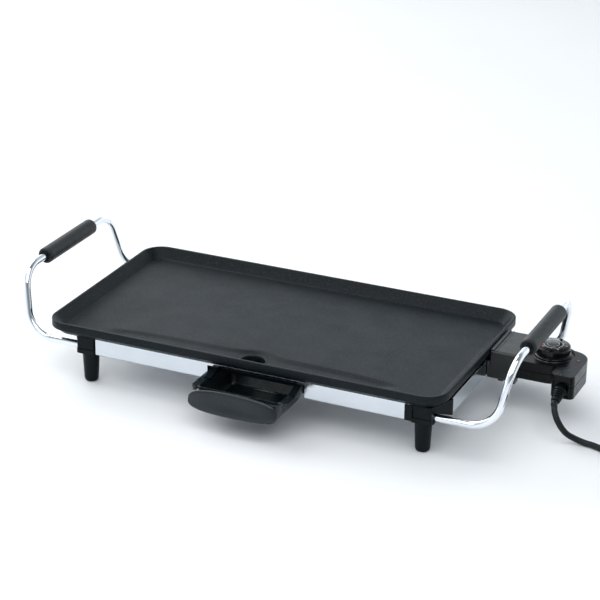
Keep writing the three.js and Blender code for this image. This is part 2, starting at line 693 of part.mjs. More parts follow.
// Plug, lying beside the coil where the cord leaves it: two blades and an earth pin.
function plug() {
  const { x, y, width, length, height, entryZ, neck } = PLUG;
  return join(
    prism(roundedRect(width, length, 6, x, y + neck + length / 2), GAP, height, 3, 3),
    bar([x, y, entryZ], [x, y + neck + 2, entryZ + 1], 4.4, 6.2, 12),
  );
}
add('plug_body', plug(), look.blackPlastic);
const face = PLUG.y + PLUG.neck + PLUG.length + GAP;
for (const [name, side] of ends) {
  const x = PLUG.x + side * (PLUG.pitch / 2);
  const blade = box(x - 0.75, x + 0.75, face, face + 17.5, PLUG.bladeZ - 3, PLUG.bladeZ + 3.3);
  add(`plug_blade_${name}`, blade, look.brass);
}
const earthPin = bar([PLUG.x, face, PLUG.earthZ], [PLUG.x, face + 20.5, PLUG.earthZ], 2.4, 2.4, 10);
add('plug_earth_pin', earthPin, look.brass);

// ---------- origin ----------

// The origin is under the middle of the griddle, without the cord and what hangs on it.
const onCord = [
  'power_cord', 'cord_coil', 'strain_relief',
  'plug_body', 'plug_blade_left', 'plug_blade_right', 'plug_earth_pin',
];
const extent = new THREE.Box3();
for (const mesh of group.children) {
  if (!onCord.includes(mesh.name)) {
    extent.expandByObject(mesh);
  }
}
const middle = extent.getCenter(new THREE.Vector3());
group.position.set(-middle.x, -middle.y, -extent.min.z);

export default group;
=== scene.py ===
"""Looks of an electric table-top griddle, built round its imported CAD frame.

Pieces are drawn in the griddle's own millimetres, measured from the middle of its four legs at
table height, and placed in metres in the frame's axes.
"""

import json
import math

import bmesh
import bpy
from mathutils import Matrix, Vector


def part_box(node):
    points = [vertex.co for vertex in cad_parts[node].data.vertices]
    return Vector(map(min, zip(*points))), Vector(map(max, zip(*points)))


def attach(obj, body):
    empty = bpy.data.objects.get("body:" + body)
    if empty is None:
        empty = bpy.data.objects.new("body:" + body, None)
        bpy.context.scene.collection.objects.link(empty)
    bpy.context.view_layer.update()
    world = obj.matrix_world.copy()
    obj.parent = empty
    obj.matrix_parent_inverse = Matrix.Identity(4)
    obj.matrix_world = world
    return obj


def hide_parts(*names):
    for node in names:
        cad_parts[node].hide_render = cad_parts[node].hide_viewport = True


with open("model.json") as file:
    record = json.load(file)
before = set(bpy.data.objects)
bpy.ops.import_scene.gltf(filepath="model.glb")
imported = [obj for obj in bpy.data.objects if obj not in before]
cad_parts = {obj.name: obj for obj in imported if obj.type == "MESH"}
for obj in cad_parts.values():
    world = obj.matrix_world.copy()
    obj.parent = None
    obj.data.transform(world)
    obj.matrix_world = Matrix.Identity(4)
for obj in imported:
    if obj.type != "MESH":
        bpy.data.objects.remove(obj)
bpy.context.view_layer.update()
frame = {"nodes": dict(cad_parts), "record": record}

MM = 0.001
CORNERS = (("front_left", -1, -1), ("front_right", 1, -1), ("rear_left", -1, 1), ("rear_right", 1, 1))
SIDES = (("left", -1), ("right", 1))


def middle(node):
    low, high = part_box(node)
    return (low + high) / 2


HOME = sum((middle(f"leg_post_{name}") for name, _, _ in CORNERS), Vector()) / 4
HOME.z = 0


def place(x, y, z):
    """A point in the griddle's millimetres, as a place in the frame."""
    return HOME + Vector((x, y, z)) * MM


def span(node):
    """A node's box in the griddle's millimetres: (x0, x1), (y0, y1), (z0, z1)."""
    low, high = (Vector(corner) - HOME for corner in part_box(node))
    return tuple((low[axis] / MM, high[axis] / MM) for axis in range(3))


def add_object(name, data):
    thing = bpy.data.objects.new(name, data)
    bpy.context.collection.objects.link(thing)
    return thing


# ---------- camera ----------

CAMERA = {"azimuth": 23.81, "elevation": 23.07, "roll": 0.94, "distance": 2529, "lens": 127.32, "sensor": 36}
AIM = (-27.6, 77.2, 60)
FARTHEST_SEEN = 50


def make_camera():
    """The photograph's viewpoint, looking at the aim point."""
    azimuth, elevation, roll = (math.radians(CAMERA[key]) for key in ("azimuth", "elevation", "roll"))
    level = Vector((math.cos(azimuth), math.sin(azimuth), 0))
    back = Vector((
        math.sin(azimuth) * math.cos(elevation),
        -math.cos(azimuth) * math.cos(elevation),
        math.sin(elevation),
    ))
    upright = back.cross(level)
    right = level * math.cos(roll) + upright * math.sin(roll)
    up = upright * math.cos(roll) - level * math.sin(roll)
    data = bpy.data.cameras.new("camera")
    data.lens = CAMERA["lens"]
    data.sensor_width = CAMERA["sensor"]
    data.clip_end = FARTHEST_SEEN
    camera = add_object("camera", data)
    turn = Matrix((right, up, back)).transposed().to_4x4()
    camera.matrix_world = Matrix.Translation(place(*AIM) + back * CAMERA["distance"] * MM) @ turn
    bpy.context.scene.camera = camera


make_camera()


# ---------- materials ----------

# Most of a noise texture's values lie between these.
NOISE_LOW, NOISE_HIGH = 0.3, 0.7


class Look:
    """A material being built: a principled shader with helpers for procedural detail."""

    def __init__(self, name, colour, roughness, metallic=0.0):
        self.material = bpy.data.materials.new(name)
        self.material.use_nodes = True
        self.tree = self.material.node_tree
        self.shader = self.tree.nodes["Principled BSDF"]
        self.shader.inputs["Metallic"].default_value = metallic
        self.colour = colour
        self.coords = self.tree.nodes.new("ShaderNodeTexCoord").outputs["Object"]
        self.height = None
        self.shader.inputs["Base Color"].default_value = (*colour, 1)
        self.shader.inputs["Roughness"].default_value = roughness
        self.material.diffuse_color = (*colour, 1)

    def link(self, output, target):
        self.tree.links.new(output, target)

    def noise(self, size_mm, detail=2.0, stretch=(1, 1, 1)):
        """Noise whose blobs are about size_mm across."""
        mapping = self.tree.nodes.new("ShaderNodeMapping")
        mapping.inputs["Scale"].default_value = stretch
        texture = self.tree.nodes.new("ShaderNodeTexNoise")
        texture.inputs["Scale"].default_value = 1 / (size_mm * MM)
        texture.inputs["Detail"].default_value = detail
        self.link(self.coords, mapping.inputs["Vector"])
        self.link(mapping.outputs["Vector"], texture.inputs["Vector"])
        return texture.outputs["Fac"]

    def remap(self, value, low, high, to_low, to_high):
        """Maps the range from low to high onto the range from to_low to to_high."""
        node = self.tree.nodes.new("ShaderNodeMapRange")
        for index, number in enumerate((low, high, to_low, to_high), start=1):
            node.inputs[index].default_value = number
        self.link(value, node.inputs[0])
        return node.outputs[0]

    def tint(self, grain, other, low=0.35, high=0.65):
        """Mixes the base colour with another where noise of some grain is high."""
        value = self.noise(*grain)
        mix = self.tree.nodes.new("ShaderNodeMix")
        mix.data_type = "RGBA"
        current = self.shader.inputs["Base Color"]
        if current.is_linked:
            self.link(current.links[0].from_socket, mix.inputs[6])
        else:
            mix.inputs[6].default_value = (*self.colour, 1)
        mix.inputs[7].default_value = (*other, 1)
        self.link(self.remap(value, low, high, 0, 1), mix.inputs[0])
        self.link(mix.outputs[2], current)
        return self

    def vary_roughness(self, grain, low, high):
        """Lets the roughness wander between low and high."""
        roughness = self.remap(self.noise(*grain), NOISE_LOW, NOISE_HIGH, low, high)
        self.link(roughness, self.shader.inputs["Roughness"])
        return self

    def bump(self, grain, height_mm, strength):
        """Adds relief of about height_mm, on top of any relief added before."""
        node = self.tree.nodes.new("ShaderNodeBump")
        node.inputs["Strength"].default_value = strength
        node.inputs["Distance"].default_value = height_mm * MM
        self.link(self.noise(*grain), node.inputs["Height"])
        if self.height is not None:
            self.link(self.height, node.inputs["Normal"])
        self.height = node.outputs["Normal"]
        self.link(self.height, self.shader.inputs["Normal"])
        return self

    def set(self, **sockets):
        for name, value in sockets.items():
            self.shader.inputs[name.replace("_", " ")].default_value = value
        return self


def nonstick():
    look = Look("coating", (0.0028, 0.0058, 0.0078), 0.42)
    look.tint((60, 3), (0.0040, 0.0074, 0.0096))
    look.tint((1.1, 2), (0.030, 0.042, 0.049), 0.54, 0.76)
    look.vary_roughness((35, 4), 0.38, 0.46)
    look.bump((0.9, 3), 0.05, 0.5)
    return look.bump((9, 3), 0.05, 0.3).set(Specular_IOR_Level=0.14)


def moulded(name, colour, roughness, grain, specular):
    look = Look(name, colour, roughness)
    look.tint((25, 3), tuple(channel * 1.35 for channel in colour))
    look.vary_roughness((8, 4), roughness - 0.05, roughness + 0.07)
    look.bump((grain, 3), 0.035, 0.5)
    return look.bump((14, 2), 0.05, 0.25).set(Specular_IOR_Level=specular)


def gloss():
    look = Look("gloss_plastic", (0.0028, 0.0033, 0.0038), 0.14)
    look.tint((12, 3), (0.0045, 0.0052, 0.0060))
    look.vary_roughness((5, 4), 0.10, 0.19)
    return look.bump((6, 2), 0.02, 0.2).set(Specular_IOR_Level=0.28)


def soft_grip():
    look = Look("grip", (0.0115, 0.0130, 0.0140), 0.46)
    look.tint((10, 3), (0.0160, 0.0180, 0.0195))
    look.vary_roughness((4, 4), 0.42, 0.55)
    return look.bump((0.6, 3), 0.05, 0.6).set(Specular_IOR_Level=0.32)


def chrome():
    look = Look("chrome", (0.86, 0.89, 0.93), 0.045, 1.0)
    look.tint((30, 3), (0.80, 0.83, 0.87))
    look.vary_roughness((6, 5), 0.025, 0.085)
    return look.bump((18, 2), 0.02, 0.15)


def polished():
    look = Look("polished_steel", (0.66, 0.70, 0.745), 0.15, 1.0)
    look.tint((40, 3), (0.61, 0.65, 0.70))
    look.vary_roughness((2.0, 3, (0.03, 0.03, 1.6)), 0.09, 0.20)
    look.bump((0.8, 3, (0.02, 0.02, 1.2)), 0.012, 0.4)
    return look.bump((70, 2), 0.25, 0.25)


def brushed(name, colour, roughness, speck):
    look = Look(name, colour, roughness, 1.0)
    look.tint((6, 4), tuple(channel * 0.86 for channel in colour))
    look.vary_roughness((speck, 3), roughness - 0.07, roughness + 0.1)
    return look.bump((speck, 3), 0.03, 0.4)


def sheath():
    look = Look("element_sheath", (0.16, 0.15, 0.145), 0.48, 0.85)
    look.tint((18, 4), (0.25, 0.20, 0.16))
    look.vary_roughness((2, 3), 0.40, 0.62)
    return look.bump((1.0, 3), 0.05, 0.5)


def ceramic():
    look = Look("ceramic", (0.80, 0.76, 0.68), 0.6)
    look.tint((3, 4), (0.70, 0.65, 0.56))
    return look.bump((0.8, 3), 0.05, 0.5)


def red_lens():
    look = Look("lens", (0.085, 0.012, 0.008), 0.12)
    look.tint((1.5, 2), (0.13, 0.020, 0.012))
    return look.bump((2, 2), 0.03, 0.3).set(Transmission_Weight=0.2, Coat_Weight=0.5)


def print_ink(name, colour):
    look = Look(name, colour, 0.35)
    look.tint((1.2, 3), tuple(channel * 0.82 for channel in colour))
    return look.bump((0.6, 2), 0.01, 0.3)


def jacket():
    look = Look("cord_jacket", (0.0065, 0.0080, 0.0090), 0.40)
    look.tint((9, 3), (0.0100, 0.0118, 0.0130))
    look.vary_roughness((3, 4), 0.36, 0.50)
    return look.bump((0.8, 3), 0.04, 0.5).set(Specular_IOR_Level=0.25)


COATING = nonstick()
PLASTIC = moulded("black_plastic", (0.0030, 0.0052, 0.0066), 0.36, 0.7, 0.12)
HOUSING = moulded("housing_plastic", (0.0022, 0.0033, 0.0042), 0.25, 0.6, 0.18)
GUARD = moulded("guard_plastic", (0.0085, 0.0095, 0.0100), 0.36, 0.5, 0.55)
PULL = moulded("pull_plastic", (0.0055, 0.0095, 0.0118), 0.24, 0.9, 0.42)
GLOSS = gloss()
GRIP = soft_grip()
CHROME = chrome()
POLISHED = polished()
# Chrome darkened to a dim grey: painted shade for the trim ring in the shadow under the knob.
RING = brushed("painted_shade_chrome", (0.20, 0.21, 0.225), 0.22, 0.5)
REFLECTOR = brushed("reflector_sheet", (0.70, 0.71, 0.72), 0.32, 1.5)
CAST = brushed("cast_aluminium", (0.58, 0.59, 0.60), 0.45, 0.9)
STEEL = brushed("steel", (0.58, 0.59, 0.60), 0.30, 0.5)
BRASS = brushed("brass", (0.78, 0.60, 0.28), 0.28, 0.5)
SHEATH = sheath()
CERAMIC = ceramic()
LENS = red_lens()
PALE_INK = print_ink("pale_ink", (0.52, 0.54, 0.56))
RED_INK = print_ink("red_ink", (0.45, 0.03, 0.02))
JACKET = jacket()

CAD_LOOKS = {
    "coating": COATING, "black_plastic": PLASTIC, "gloss_plastic": GLOSS, "chrome": CHROME,
    "polished_steel": POLISHED, "reflector_sheet": REFLECTOR, "cast_aluminium": CAST, "steel": STEEL,
    "brass": BRASS, "element_sheath": SHEATH, "ceramic": CERAMIC, "lens": LENS, "dial_print": GLOSS,
    "cord_jacket": JACKET,
}
SLOTS = {part["node"]: part["material_slot"] for part in frame["record"]["subparts"]}
for node, cad_object in frame["nodes"].items():
    for material_slot in cad_object.material_slots:
        material_slot.material = CAD_LOOKS[SLOTS[node]].material


# ---------- shapes ----------

def arc(centre, radius, start, end, steps):
    """Points on an arc in a plane, between two angles in degrees."""
    points = []
    for step in range(steps + 1):
        angle = math.radians(start + (end - start) * step / steps)
        points.append((centre[0] + radius * math.cos(angle), centre[1] + radius * math.sin(angle)))
    return points


def rounded(width, depth, radius, x=0.0, y=0.0, corner=6, along=0, across=0):
    """Outline of a rounded rectangle, with extra points along its long and short sides."""
    w, d = width / 2 - radius, depth / 2 - radius
    arcs = [
        arc((x + cx, y + cy), radius, 90 * index, 90 * index + 90, corner)
        for index, (cx, cy) in enumerate([(w, d), (-w, d), (-w, -d), (w, -d)])
    ]
    points = []
    for index, stretch in enumerate(arcs):
        points += stretch
        start, end = stretch[-1], arcs[(index + 1) % 4][0]
        extra = across if index % 2 else along
        for step in range(1, extra + 1):
            points.append(tuple(a + (b - a) * step / (extra + 1) for a, b in zip(start, end)))
    return points


# Points of a shape closer than this, in metres, are joined.
SAME_PLACE = 1e-7


class Shape:
    """Closed bodies in the griddle's millimetres, collected into one mesh."""

    def __init__(self):
        self.points = []
        self.faces = []
        self.bodies = 0

    def loft(self, rings, loop=False):
        """Joins rings of equal count, and closes both ends unless the rings close on themselves."""
        self.bodies += 1
        start, count, rows = len(self.points), len(rings[0]), len(rings)
        for ring in rings:
            self.points += [tuple(point) for point in ring]
        for row in range(rows if loop else rows - 1):
            here, there = start + row * count, start + ((row + 1) % rows) * count
            for i in range(count):
                j = (i + 1) % count
                self.faces.append((here + i, here + j, there + j, there + i))
        if not loop:
            self.faces.append(tuple(start + i for i in reversed(range(count))))
            self.faces.append(tuple(start + (rows - 1) * count + i for i in range(count)))
        return self

    def prism(self, outline, z0, z1):
        return self.loft([[(x, y, z) for x, y in outline] for z in (z0, z1)])

    def prism_x(self, outline, x0, x1):
        return self.loft([[(x, y, z) for y, z in outline] for x in (x0, x1)])

    def block(self, x0, x1, y0, y1, z0, z1):
        return self.prism([(x0, y0), (x1, y0), (x1, y1), (x0, y1)], z0, z1)

    def lathe(self, profile, origin, axis=(0, 0, 1), segments=48, loop=False):
        """Turns a profile of (radius, distance along the axis) about an axis."""
        axis = Vector(axis).normalized()
        side = axis.orthogonal().normalized()
        other = axis.cross(side)
        rings = []
        for radius, along in profile:
            centre = Vector(origin) + axis * along
            rings.append([
                centre + (side * math.cos(angle) + other * math.sin(angle)) * radius
                for angle in (2 * math.pi * step / segments for step in range(segments))
            ])
        return self.loft(rings, loop)

    def tube(self, path, radius, sides=28):
        """A round section along a path, carried on without twist."""
        path = [Vector(point) for point in path]
        side = (path[1] - path[0]).orthogonal().normalized()
        rings = []
        for index, point in enumerate(path):
            ahead = (path[min(index + 1, len(path) - 1)] - path[max(index - 1, 0)]).normalized()
            side = (side - ahead * side.dot(ahead)).normalized()
            other = ahead.cross(side)
            rings.append([
                point + (side * math.cos(angle) + other * math.sin(angle)) * radius
                for angle in (2 * math.pi * step / sides for step in range(sides))
            ])
        return self.loft(rings)

    def mesh(self, name):
        """The bodies as a mesh in the frame, with their faces turned outwards."""
        data = bpy.data.meshes.new(name)
        data.from_pydata([place(*point) for point in self.points], [], self.faces)
        work = bmesh.new()
        work.from_mesh(data)
        bmesh.ops.remove_doubles(work, verts=work.verts, dist=SAME_PLACE)
        bmesh.ops.recalc_face_normals(work, faces=work.faces)
        work.to_mesh(data)
        work.free()
        return data


def bake(thing):
    """Turns an object's modifiers into its mesh."""
    graph = bpy.context.evaluated_depsgraph_get()
    done = bpy.data.meshes.new_from_object(thing.evaluated_get(graph))
    thing.modifiers.clear()
    thing.data = done


# A tool that touches nothing: cutting with it merges a shape's own bodies.
FAR_OFF = Shape().block(0, 1, 0, 1, -901, -900)


def make(name, shape, tools=(), merge=True):
    """An object from a shape, its bodies merged into one and any tool shapes cut out of it."""
    thing = add_object(f"{name}_shown", shape.mesh(name))
    if merge and shape.bodies > 1 and not tools:
        tools = [FAR_OFF]
    for tool in tools:
        cutter = add_object("cutter", tool.mesh("cutter"))
        modifier = thing.modifiers.new("cut", "BOOLEAN")
        modifier.operation = "DIFFERENCE"
        modifier.solver = "EXACT"
        modifier.use_self = shape.bodies > 1
        modifier.object = cutter
        bake(thing)
        bpy.data.objects.remove(cutter)
    return thing


# The crease angle of a bevelled piece, and how strongly its flat faces shape the shading.
BEVELLED_CREASE = 45
FLAT_FACE_WEIGHT = 80


def smooth(data, angle):
    """Shades a mesh smooth, with a crease wherever two faces turn by more than angle."""
    work = bmesh.new()
    work.from_mesh(data)
    for face in work.faces:
        face.smooth = True
    for edge in work.edges:
        edge.smooth = len(edge.link_faces) == 2 and edge.calc_face_angle(0) < math.radians(angle)
    work.to_mesh(data)
    work.free()


def finish_piece(thing, look, body, nodes=(), slot=None, edge=0.0, segments=3, angle=32):
    """Rounds a piece's edges, gives it its material, and fastens it to its body. The slot is not used."""
    smooth(thing.data, angle)
    if edge:
        bevel = thing.modifiers.new("edges", "BEVEL")
        bevel.width = edge * MM
        bevel.segments = segments
        bevel.limit_method = "ANGLE"
        bevel.angle_limit = math.radians(angle)
        bevel.miter_outer = "MITER_ARC"
        bake(thing)
        smooth(thing.data, BEVELLED_CREASE)
        normals = thing.modifiers.new("normals", "WEIGHTED_NORMAL")
        normals.keep_sharp = True
        normals.weight = FLAT_FACE_WEIGHT
    thing.data.materials.clear()
    thing.data.materials.append(look.material)
    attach(thing, body)
    if nodes:
        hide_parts(*nodes)
    return thing


def piece(name, shape, look, body, nodes=None, slot=None, tools=(), merge=True, **edges):
    """A finished piece. It replaces the CAD node of its own name, unless it has other nodes or a slot."""
    if nodes is None:
        nodes = () if slot else (name,)
    return finish_piece(make(name, shape, tools, merge), look, body, nodes, slot, **edges)


def fade(value, low, high):
    """0 below low, 1 above high and a smooth rise between them."""
    t = min(max((value - low) / (high - low), 0), 1)
    return t * t * (3 - 2 * t)


def rounded_path(corners, radii, steps=10):
    """Straight stretches between corners, with an arc of the given radius at each inner corner."""
    points = [Vector(corner) for corner in corners]
    path = [points[0]]
    for before, here, after, radius in zip(points, points[1:], points[2:], radii):
        back, ahead = (before - here).normalized(), (after - here).normalized()
        half = back.angle(ahead) / 2
        centre = here + (back + ahead).normalized() * radius / math.sin(half)
        start = here + back * radius / math.tan(half) - centre
        end = here + ahead * radius / math.tan(half) - centre
        for step in range(steps + 1):
            spoke = start.slerp(end, step / steps) if step else start
            path.append(centre + spoke.normalized() * radius)
    return path + [points[-1]]


# ---------- cooking plate ----------

PLATE = {"corner": 26, "least_corner": 5, "floor": 62, "wall_foot": 15.2, "ring_step": 2.2, "floor_rings": 20}
DRAIN = {"x": -4, "y": -104, "bore": 13.5, "wall": 3, "hole": 15.2}
DRAIN_DISH = {"depth": 0.5, "flat": 16, "edge": 27}
GUTTER = {"x": -9, "half": 181, "rear": -88, "depth": 2.0, "end_slope": 24, "rear_slope": 6, "taper": 10}
GUTTER_BULGE = {"reach": 7, "width": 22}


def floor_drop(x, y):
    """How far the floor lies below its level part: the grease gutter, and the dish round its drain."""
    t = (x - GUTTER["x"]) / GUTTER["half"]
    bulge = GUTTER_BULGE["reach"] * math.exp(-((x - DRAIN["x"]) / GUTTER_BULGE["width"]) ** 2)
    rear = GUTTER["rear"] - GUTTER["taper"] * t ** 4 + bulge
    ends = fade((1 - abs(t)) * GUTTER["half"], 0, GUTTER["end_slope"])
    gutter = GUTTER["depth"] * ends * fade(rear - y, 0, GUTTER["rear_slope"])
    reach = math.hypot(x - DRAIN["x"], y - DRAIN["y"])
    return gutter + DRAIN_DISH["depth"] * (1 - fade(reach, DRAIN_DISH["flat"], DRAIN_DISH["edge"]))


def build_plate():
    """The cast plate, as rings of (inset from its outline, height), cut through at the drain."""
    (x0, x1), (y0, y1), (_, rim) = span("griddle_plate")
    length, depth, centre = x1 - x0, y1 - y0, ((x0 + x1) / 2, (y0 + y1) / 2)
    floor = PLATE["floor"]
    underside = [(11, 57.5), (10, 57.5), (2.6, 64.1)]
    edge = [(0.9, 64.5), (0.25, 64.9), (0, 65.6), (0, 72.9), (0.12, 73.5), (0.5, 73.88), (1.0, rim)]
    wall = [
        (2.7, rim), (3.2, 73.9), (3.6, 73.6), (4.1, 73.0), (12.0, 63.6), (12.6, 62.95), (13.3, 62.45),
        (14.1, 62.12),
    ]
    steps = range(PLATE["floor_rings"] + 1)
    level = [(PLATE["wall_foot"] + PLATE["ring_step"] * step, floor) for step in steps]
    rings = []
    for inset, z in underside + edge + wall + level:
        radius = max(PLATE["corner"] - inset, PLATE["least_corner"])
        outline = rounded(
            length - 2 * inset, depth - 2 * inset, radius, *centre, corner=12, along=96, across=30,
        )
        rings.append([(x, y, z - floor_drop(x, y) if z == floor else z) for x, y in outline])
    hole = Shape().lathe([(DRAIN["hole"], 40), (DRAIN["hole"], 80)], (DRAIN["x"], DRAIN["y"], 0), segments=64)
    piece("plate", Shape().loft(rings), COATING, "griddle", ["griddle_plate"], tools=[hole], angle=40)


def build_drain():
    """The drain's collar, with its rounded lip."""
    bore, outside, foot = DRAIN["bore"], DRAIN["bore"] + DRAIN["wall"], 53.5
    lip = PLATE["floor"] - GUTTER["depth"] - 0.45
    profile = [(bore, foot), (outside, foot), (outside, lip - 2.5)]
    profile += arc((bore + 2.0, lip - 1.1), 1.5, 0, 180, 10)
    collar = Shape().lathe(profile, (DRAIN["x"], DRAIN["y"], 0), segments=72, loop=True)
    piece("drain_collar", collar, COATING, "griddle", slot="coating", angle=50)


build_plate()
build_drain()


# ---------- legs and handles ----------

LEG = {"x": 205, "y": 114, "outset": 1.2, "side": 22.5, "seam": 42, "bore": 4.2}
WING = {"front": -124.4, "front_lift": 9, "back": -92, "back_drop": 4.4}
SKIRT_END = 229


def mirrored(points, sx, sy):
    """A front-right outline, moved to another corner."""
    return [(x * sx, y * -sy, *rest) for x, y, *rest in points]


def build_leg_block(name, sx, sy):
    """A leg's square top, with a capped edge and a wing that tapers back along the end skirt."""
    node = f"leg_block_{name}"
    x, y, side, seam = LEG["x"] + LEG["outset"], -LEG["y"], LEG["side"], LEG["seam"]
    left, right, top = x - side / 2, x + side / 2, span(node)[2][1]
    block = Shape()
    for z0, z1, grow in ((seam + 0.3, top, 0), (top - 3.4, top - 0.2, 0.5)):
        block.prism(mirrored(rounded(side + grow, side + grow, 2.2, x, y), sx, sy), z0, z1)
    front_z, back_z = seam + WING["front_lift"], seam - WING["back_drop"]
    wing = [
        (right - 4, WING["front"], front_z), (right - 0.4, WING["front"], front_z),
        (SKIRT_END + 1.2, WING["back"], back_z), (SKIRT_END - 2.4, WING["back"], back_z),
    ]
    block.loft([mirrored(wing, sx, sy), mirrored([(wx, wy, top - 0.1) for wx, wy, _ in wing], sx, sy)])
    if name == "front_right":
        # A thin tab beside this block lies over the front skirt.
        block.block(left - 8, left + 1, y - 12.2, y - 10.9, seam - 4, top - 0.5)
    piece(node, block, PLASTIC, "griddle", edge=0.7)


def build_leg_post(name, sx, sy):
    """A leg's lower part: a square flange, and a post that tapers to a round, bored foot."""
    node = f"leg_post_{name}"
    x, y, seam, bore = LEG["x"] + LEG["outset"] - 0.3, -LEG["y"], LEG["seam"], LEG["bore"]
    flange = LEG["side"] + 1.4
    post = Shape()
    post.prism(mirrored(rounded(flange, flange, 2.8, x, y), sx, sy), seam - 5.4, seam)
    post.prism(mirrored(rounded(flange + 2.2, flange - 9, 2.0, x, y), sx, sy), seam - 5.9, seam - 2.6)
    foot = [(bore, 0.5), (bore, 0.1), (5.2, 0), (6.6, 0.45), (7.7, 1.6), (8.25, 3.2), (8.45, 5.5)]
    foot += [(9.95, seam - 5.0), (10.2, seam - 4.6)]
    centre = (LEG["x"] * sx, LEG["y"] * sy, 0)
    post.lathe(foot, centre, segments=56)
    hollow = Shape().lathe([(bore, -2), (bore, 19), (3.0, 20.5)], centre, segments=32)
    piece(node, post, PLASTIC, "griddle", tools=[hollow], edge=0.5, angle=38)


for leg in CORNERS:
    build_leg_block(*leg)
    build_leg_post(*leg)

HANDLE = {"low": 284.5, "shoulder": 99, "low_bend": 34, "top_bend": 30, "rod": 4.4, "height": 41.8}


def build_handle(name, side):
    """One rod, bent up from two legs, and the grip along its top."""
    node = f"handle_rod_{name}"
    (x0, x1), _, (_, top) = span(node)
    rod, y, z = HANDLE["rod"], LEG["y"], HANDLE["height"]
    high, crest = (x1 - rod) if side > 0 else (x0 + rod), top - rod
    front = [
        (side * (LEG["x"] + 3.3), -y, z), (side * HANDLE["low"], -y, z), (high, -HANDLE["shoulder"], crest),
    ]
    corners = front + [(cx, -cy, cz) for cx, cy, cz in reversed(front)]
    bends = [HANDLE[key] for key in ("low_bend", "top_bend", "top_bend", "low_bend")]
    tube = Shape().tube(rounded_path(corners, bends, steps=18), rod, sides=40)
    piece(node, tube, CHROME, "griddle", angle=60)

    node = f"handle_grip_{name}"
    (gx0, gx1), (gy0, gy1), _ = span(node)
    radius, half = (gx1 - gx0) / 2, (gy1 - gy0) / 2
    flank = [(4.6, half - 3.4), (6.0, half - 3.2), (6.5, half - 2.6), (6.7, half - 0.5), (7.1, half)]
    flank += [(radius - cut, half - drop) for cut, drop in ((1.5, 0), (0.7, 0.3), (0.2, 0.9), (0, 1.8))]
    flank += [(radius, half - 5), (radius, 8)]
    profile = flank + [(r, -along) for r, along in reversed(flank)]
    grip = Shape().lathe(profile, (high, 0, crest), (0, 1, 0), 64, loop=True)
    piece(node, grip, GRIP, "griddle", angle=50)


for handle in SIDES:
    build_handle(*handle)


# ---------- skirt ----------

SHEET = {"thick": 1, "bend": 2.2, "return": 9}
STRIP_ABOVE_TRAY = 3.2
INLET_OPENING = {"y0": 33.5, "y1": 65.5, "sill": 48}


def sheet_profile(face, bottom, top, turn):
    """Section of a sheet panel with a rounded return at its foot, as (distance out, height)."""
    thick, radius = SHEET["thick"], SHEET["bend"]
    side, foot = (0, -90) if turn > 0 else (180, 270)
    centre = (face - turn * radius, bottom + radius)
    outer = arc(centre, radius, side, foot, 6)
    inner = arc(centre, radius - thick, foot, side, 6)
    back = face - turn * SHEET["return"]
    return [(face, top), *outer, (back, bottom), (back, bottom + thick), *inner, (face - turn * thick, top)]


def build_skirt(name, turn, openings=()):
    """One panel: front and rear run along x, left and right along y."""
    x, y, (bottom, top) = span(f"skirt_{name}")
    panel = Shape()
    if name in ("front", "rear"):
        panel.prism_x(sheet_profile(y[1] if turn > 0 else y[0], bottom, top, turn), *x)
    else:
        outline = sheet_profile(x[1] if turn > 0 else x[0], bottom, top, turn)
        panel.loft([[(across, along, z) for across, z in outline] for along in y])
    piece(f"skirt_{name}", panel, POLISHED, "griddle", tools=openings, edge=0.3, segments=2)


def skirt_openings():
    """Cuts for the tray in the front panel and for the inlet in the right one."""
    (left, right), top = span("grease_tray")[0], span("skirt_front")[2][1]
    tray = Shape().block(left - 1, right + 1, -140, -100, 20, top - STRIP_ABOVE_TRAY)
    y0, y1 = INLET_OPENING["y0"], INLET_OPENING["y1"]
    return tray, Shape().block(SKIRT_END - 5, SKIRT_END + 5, y0, y1, INLET_OPENING["sill"], top + 1)


tray_opening, inlet_opening = skirt_openings()
build_skirt("front", -1, [tray_opening])
build_skirt("rear", 1)
build_skirt("left", -1)
build_skirt("right", 1, [inlet_opening])


# ---------- grease tray and its guide ----------

TRAY = {"front": -172, "back": -86, "rim": 48.8}
TRAY_PULL = {
    "x": 5, "half_width": 54, "half_height": 13.5, "tilt": 0.3, "upper_power": 0.80, "lower_power": 0.58,
    "bow": 2.0, "points": 96,
}


def tray_pan():
    """The pan, as outlines of (half width, front, back, corner radius, height)."""
    (x0, x1), _, (bottom, _) = span("grease_tray")
    centre, front, back, rim = (x0 + x1) / 2, TRAY["front"], TRAY["back"], TRAY["rim"]
    wide = x1 - centre
    outside = [
        (38.5, front + 4, back - 15, 5, bottom), (41.5, front + 1.2, back - 12.6, 6, bottom + 0.8),
        (43.2, front + 0.3, back - 11.4, 7, bottom + 3.2), (44.4, front, back - 10, 7.5, bottom + 7),
        (50.4, front, back - 0.5, 8, rim - 2.3),
    ]
    lip = [
        (wide - 0.3, front + 4, back + 2, 3, rim - 2.3), (wide, front + 3.7, back + 2.0, 3.2, rim - 1.8),
        (wide, front + 3.7, back + 2.0, 3.2, rim - 0.5), (wide - 0.5, front + 4.2, back + 1.6, 3, rim),
        (49.0, front + 2.0, back - 1.6, 7, rim),
    ]
    inside = [
        (48.2, front + 2.4, back - 2.3, 6.5, rim - 0.8), (42.4, front + 2.4, back - 12, 5.5, bottom + 5.5),
        (40.0, front + 4.4, back - 14, 4.5, bottom + 2.6), (37.5, front + 6, back - 16, 4, bottom + 2.2),
    ]
    rings = []
    for half, y_front, y_back, radius, z in outside + lip + inside:
        outline = rounded(2 * half, y_back - y_front, radius, centre, (y_front + y_back) / 2, corner=8)
        rings.append([(x, y, z) for x, y in outline])
    return Shape().loft(rings)


def signed_power(value, power):
    return math.copysign(abs(value) ** power, value)


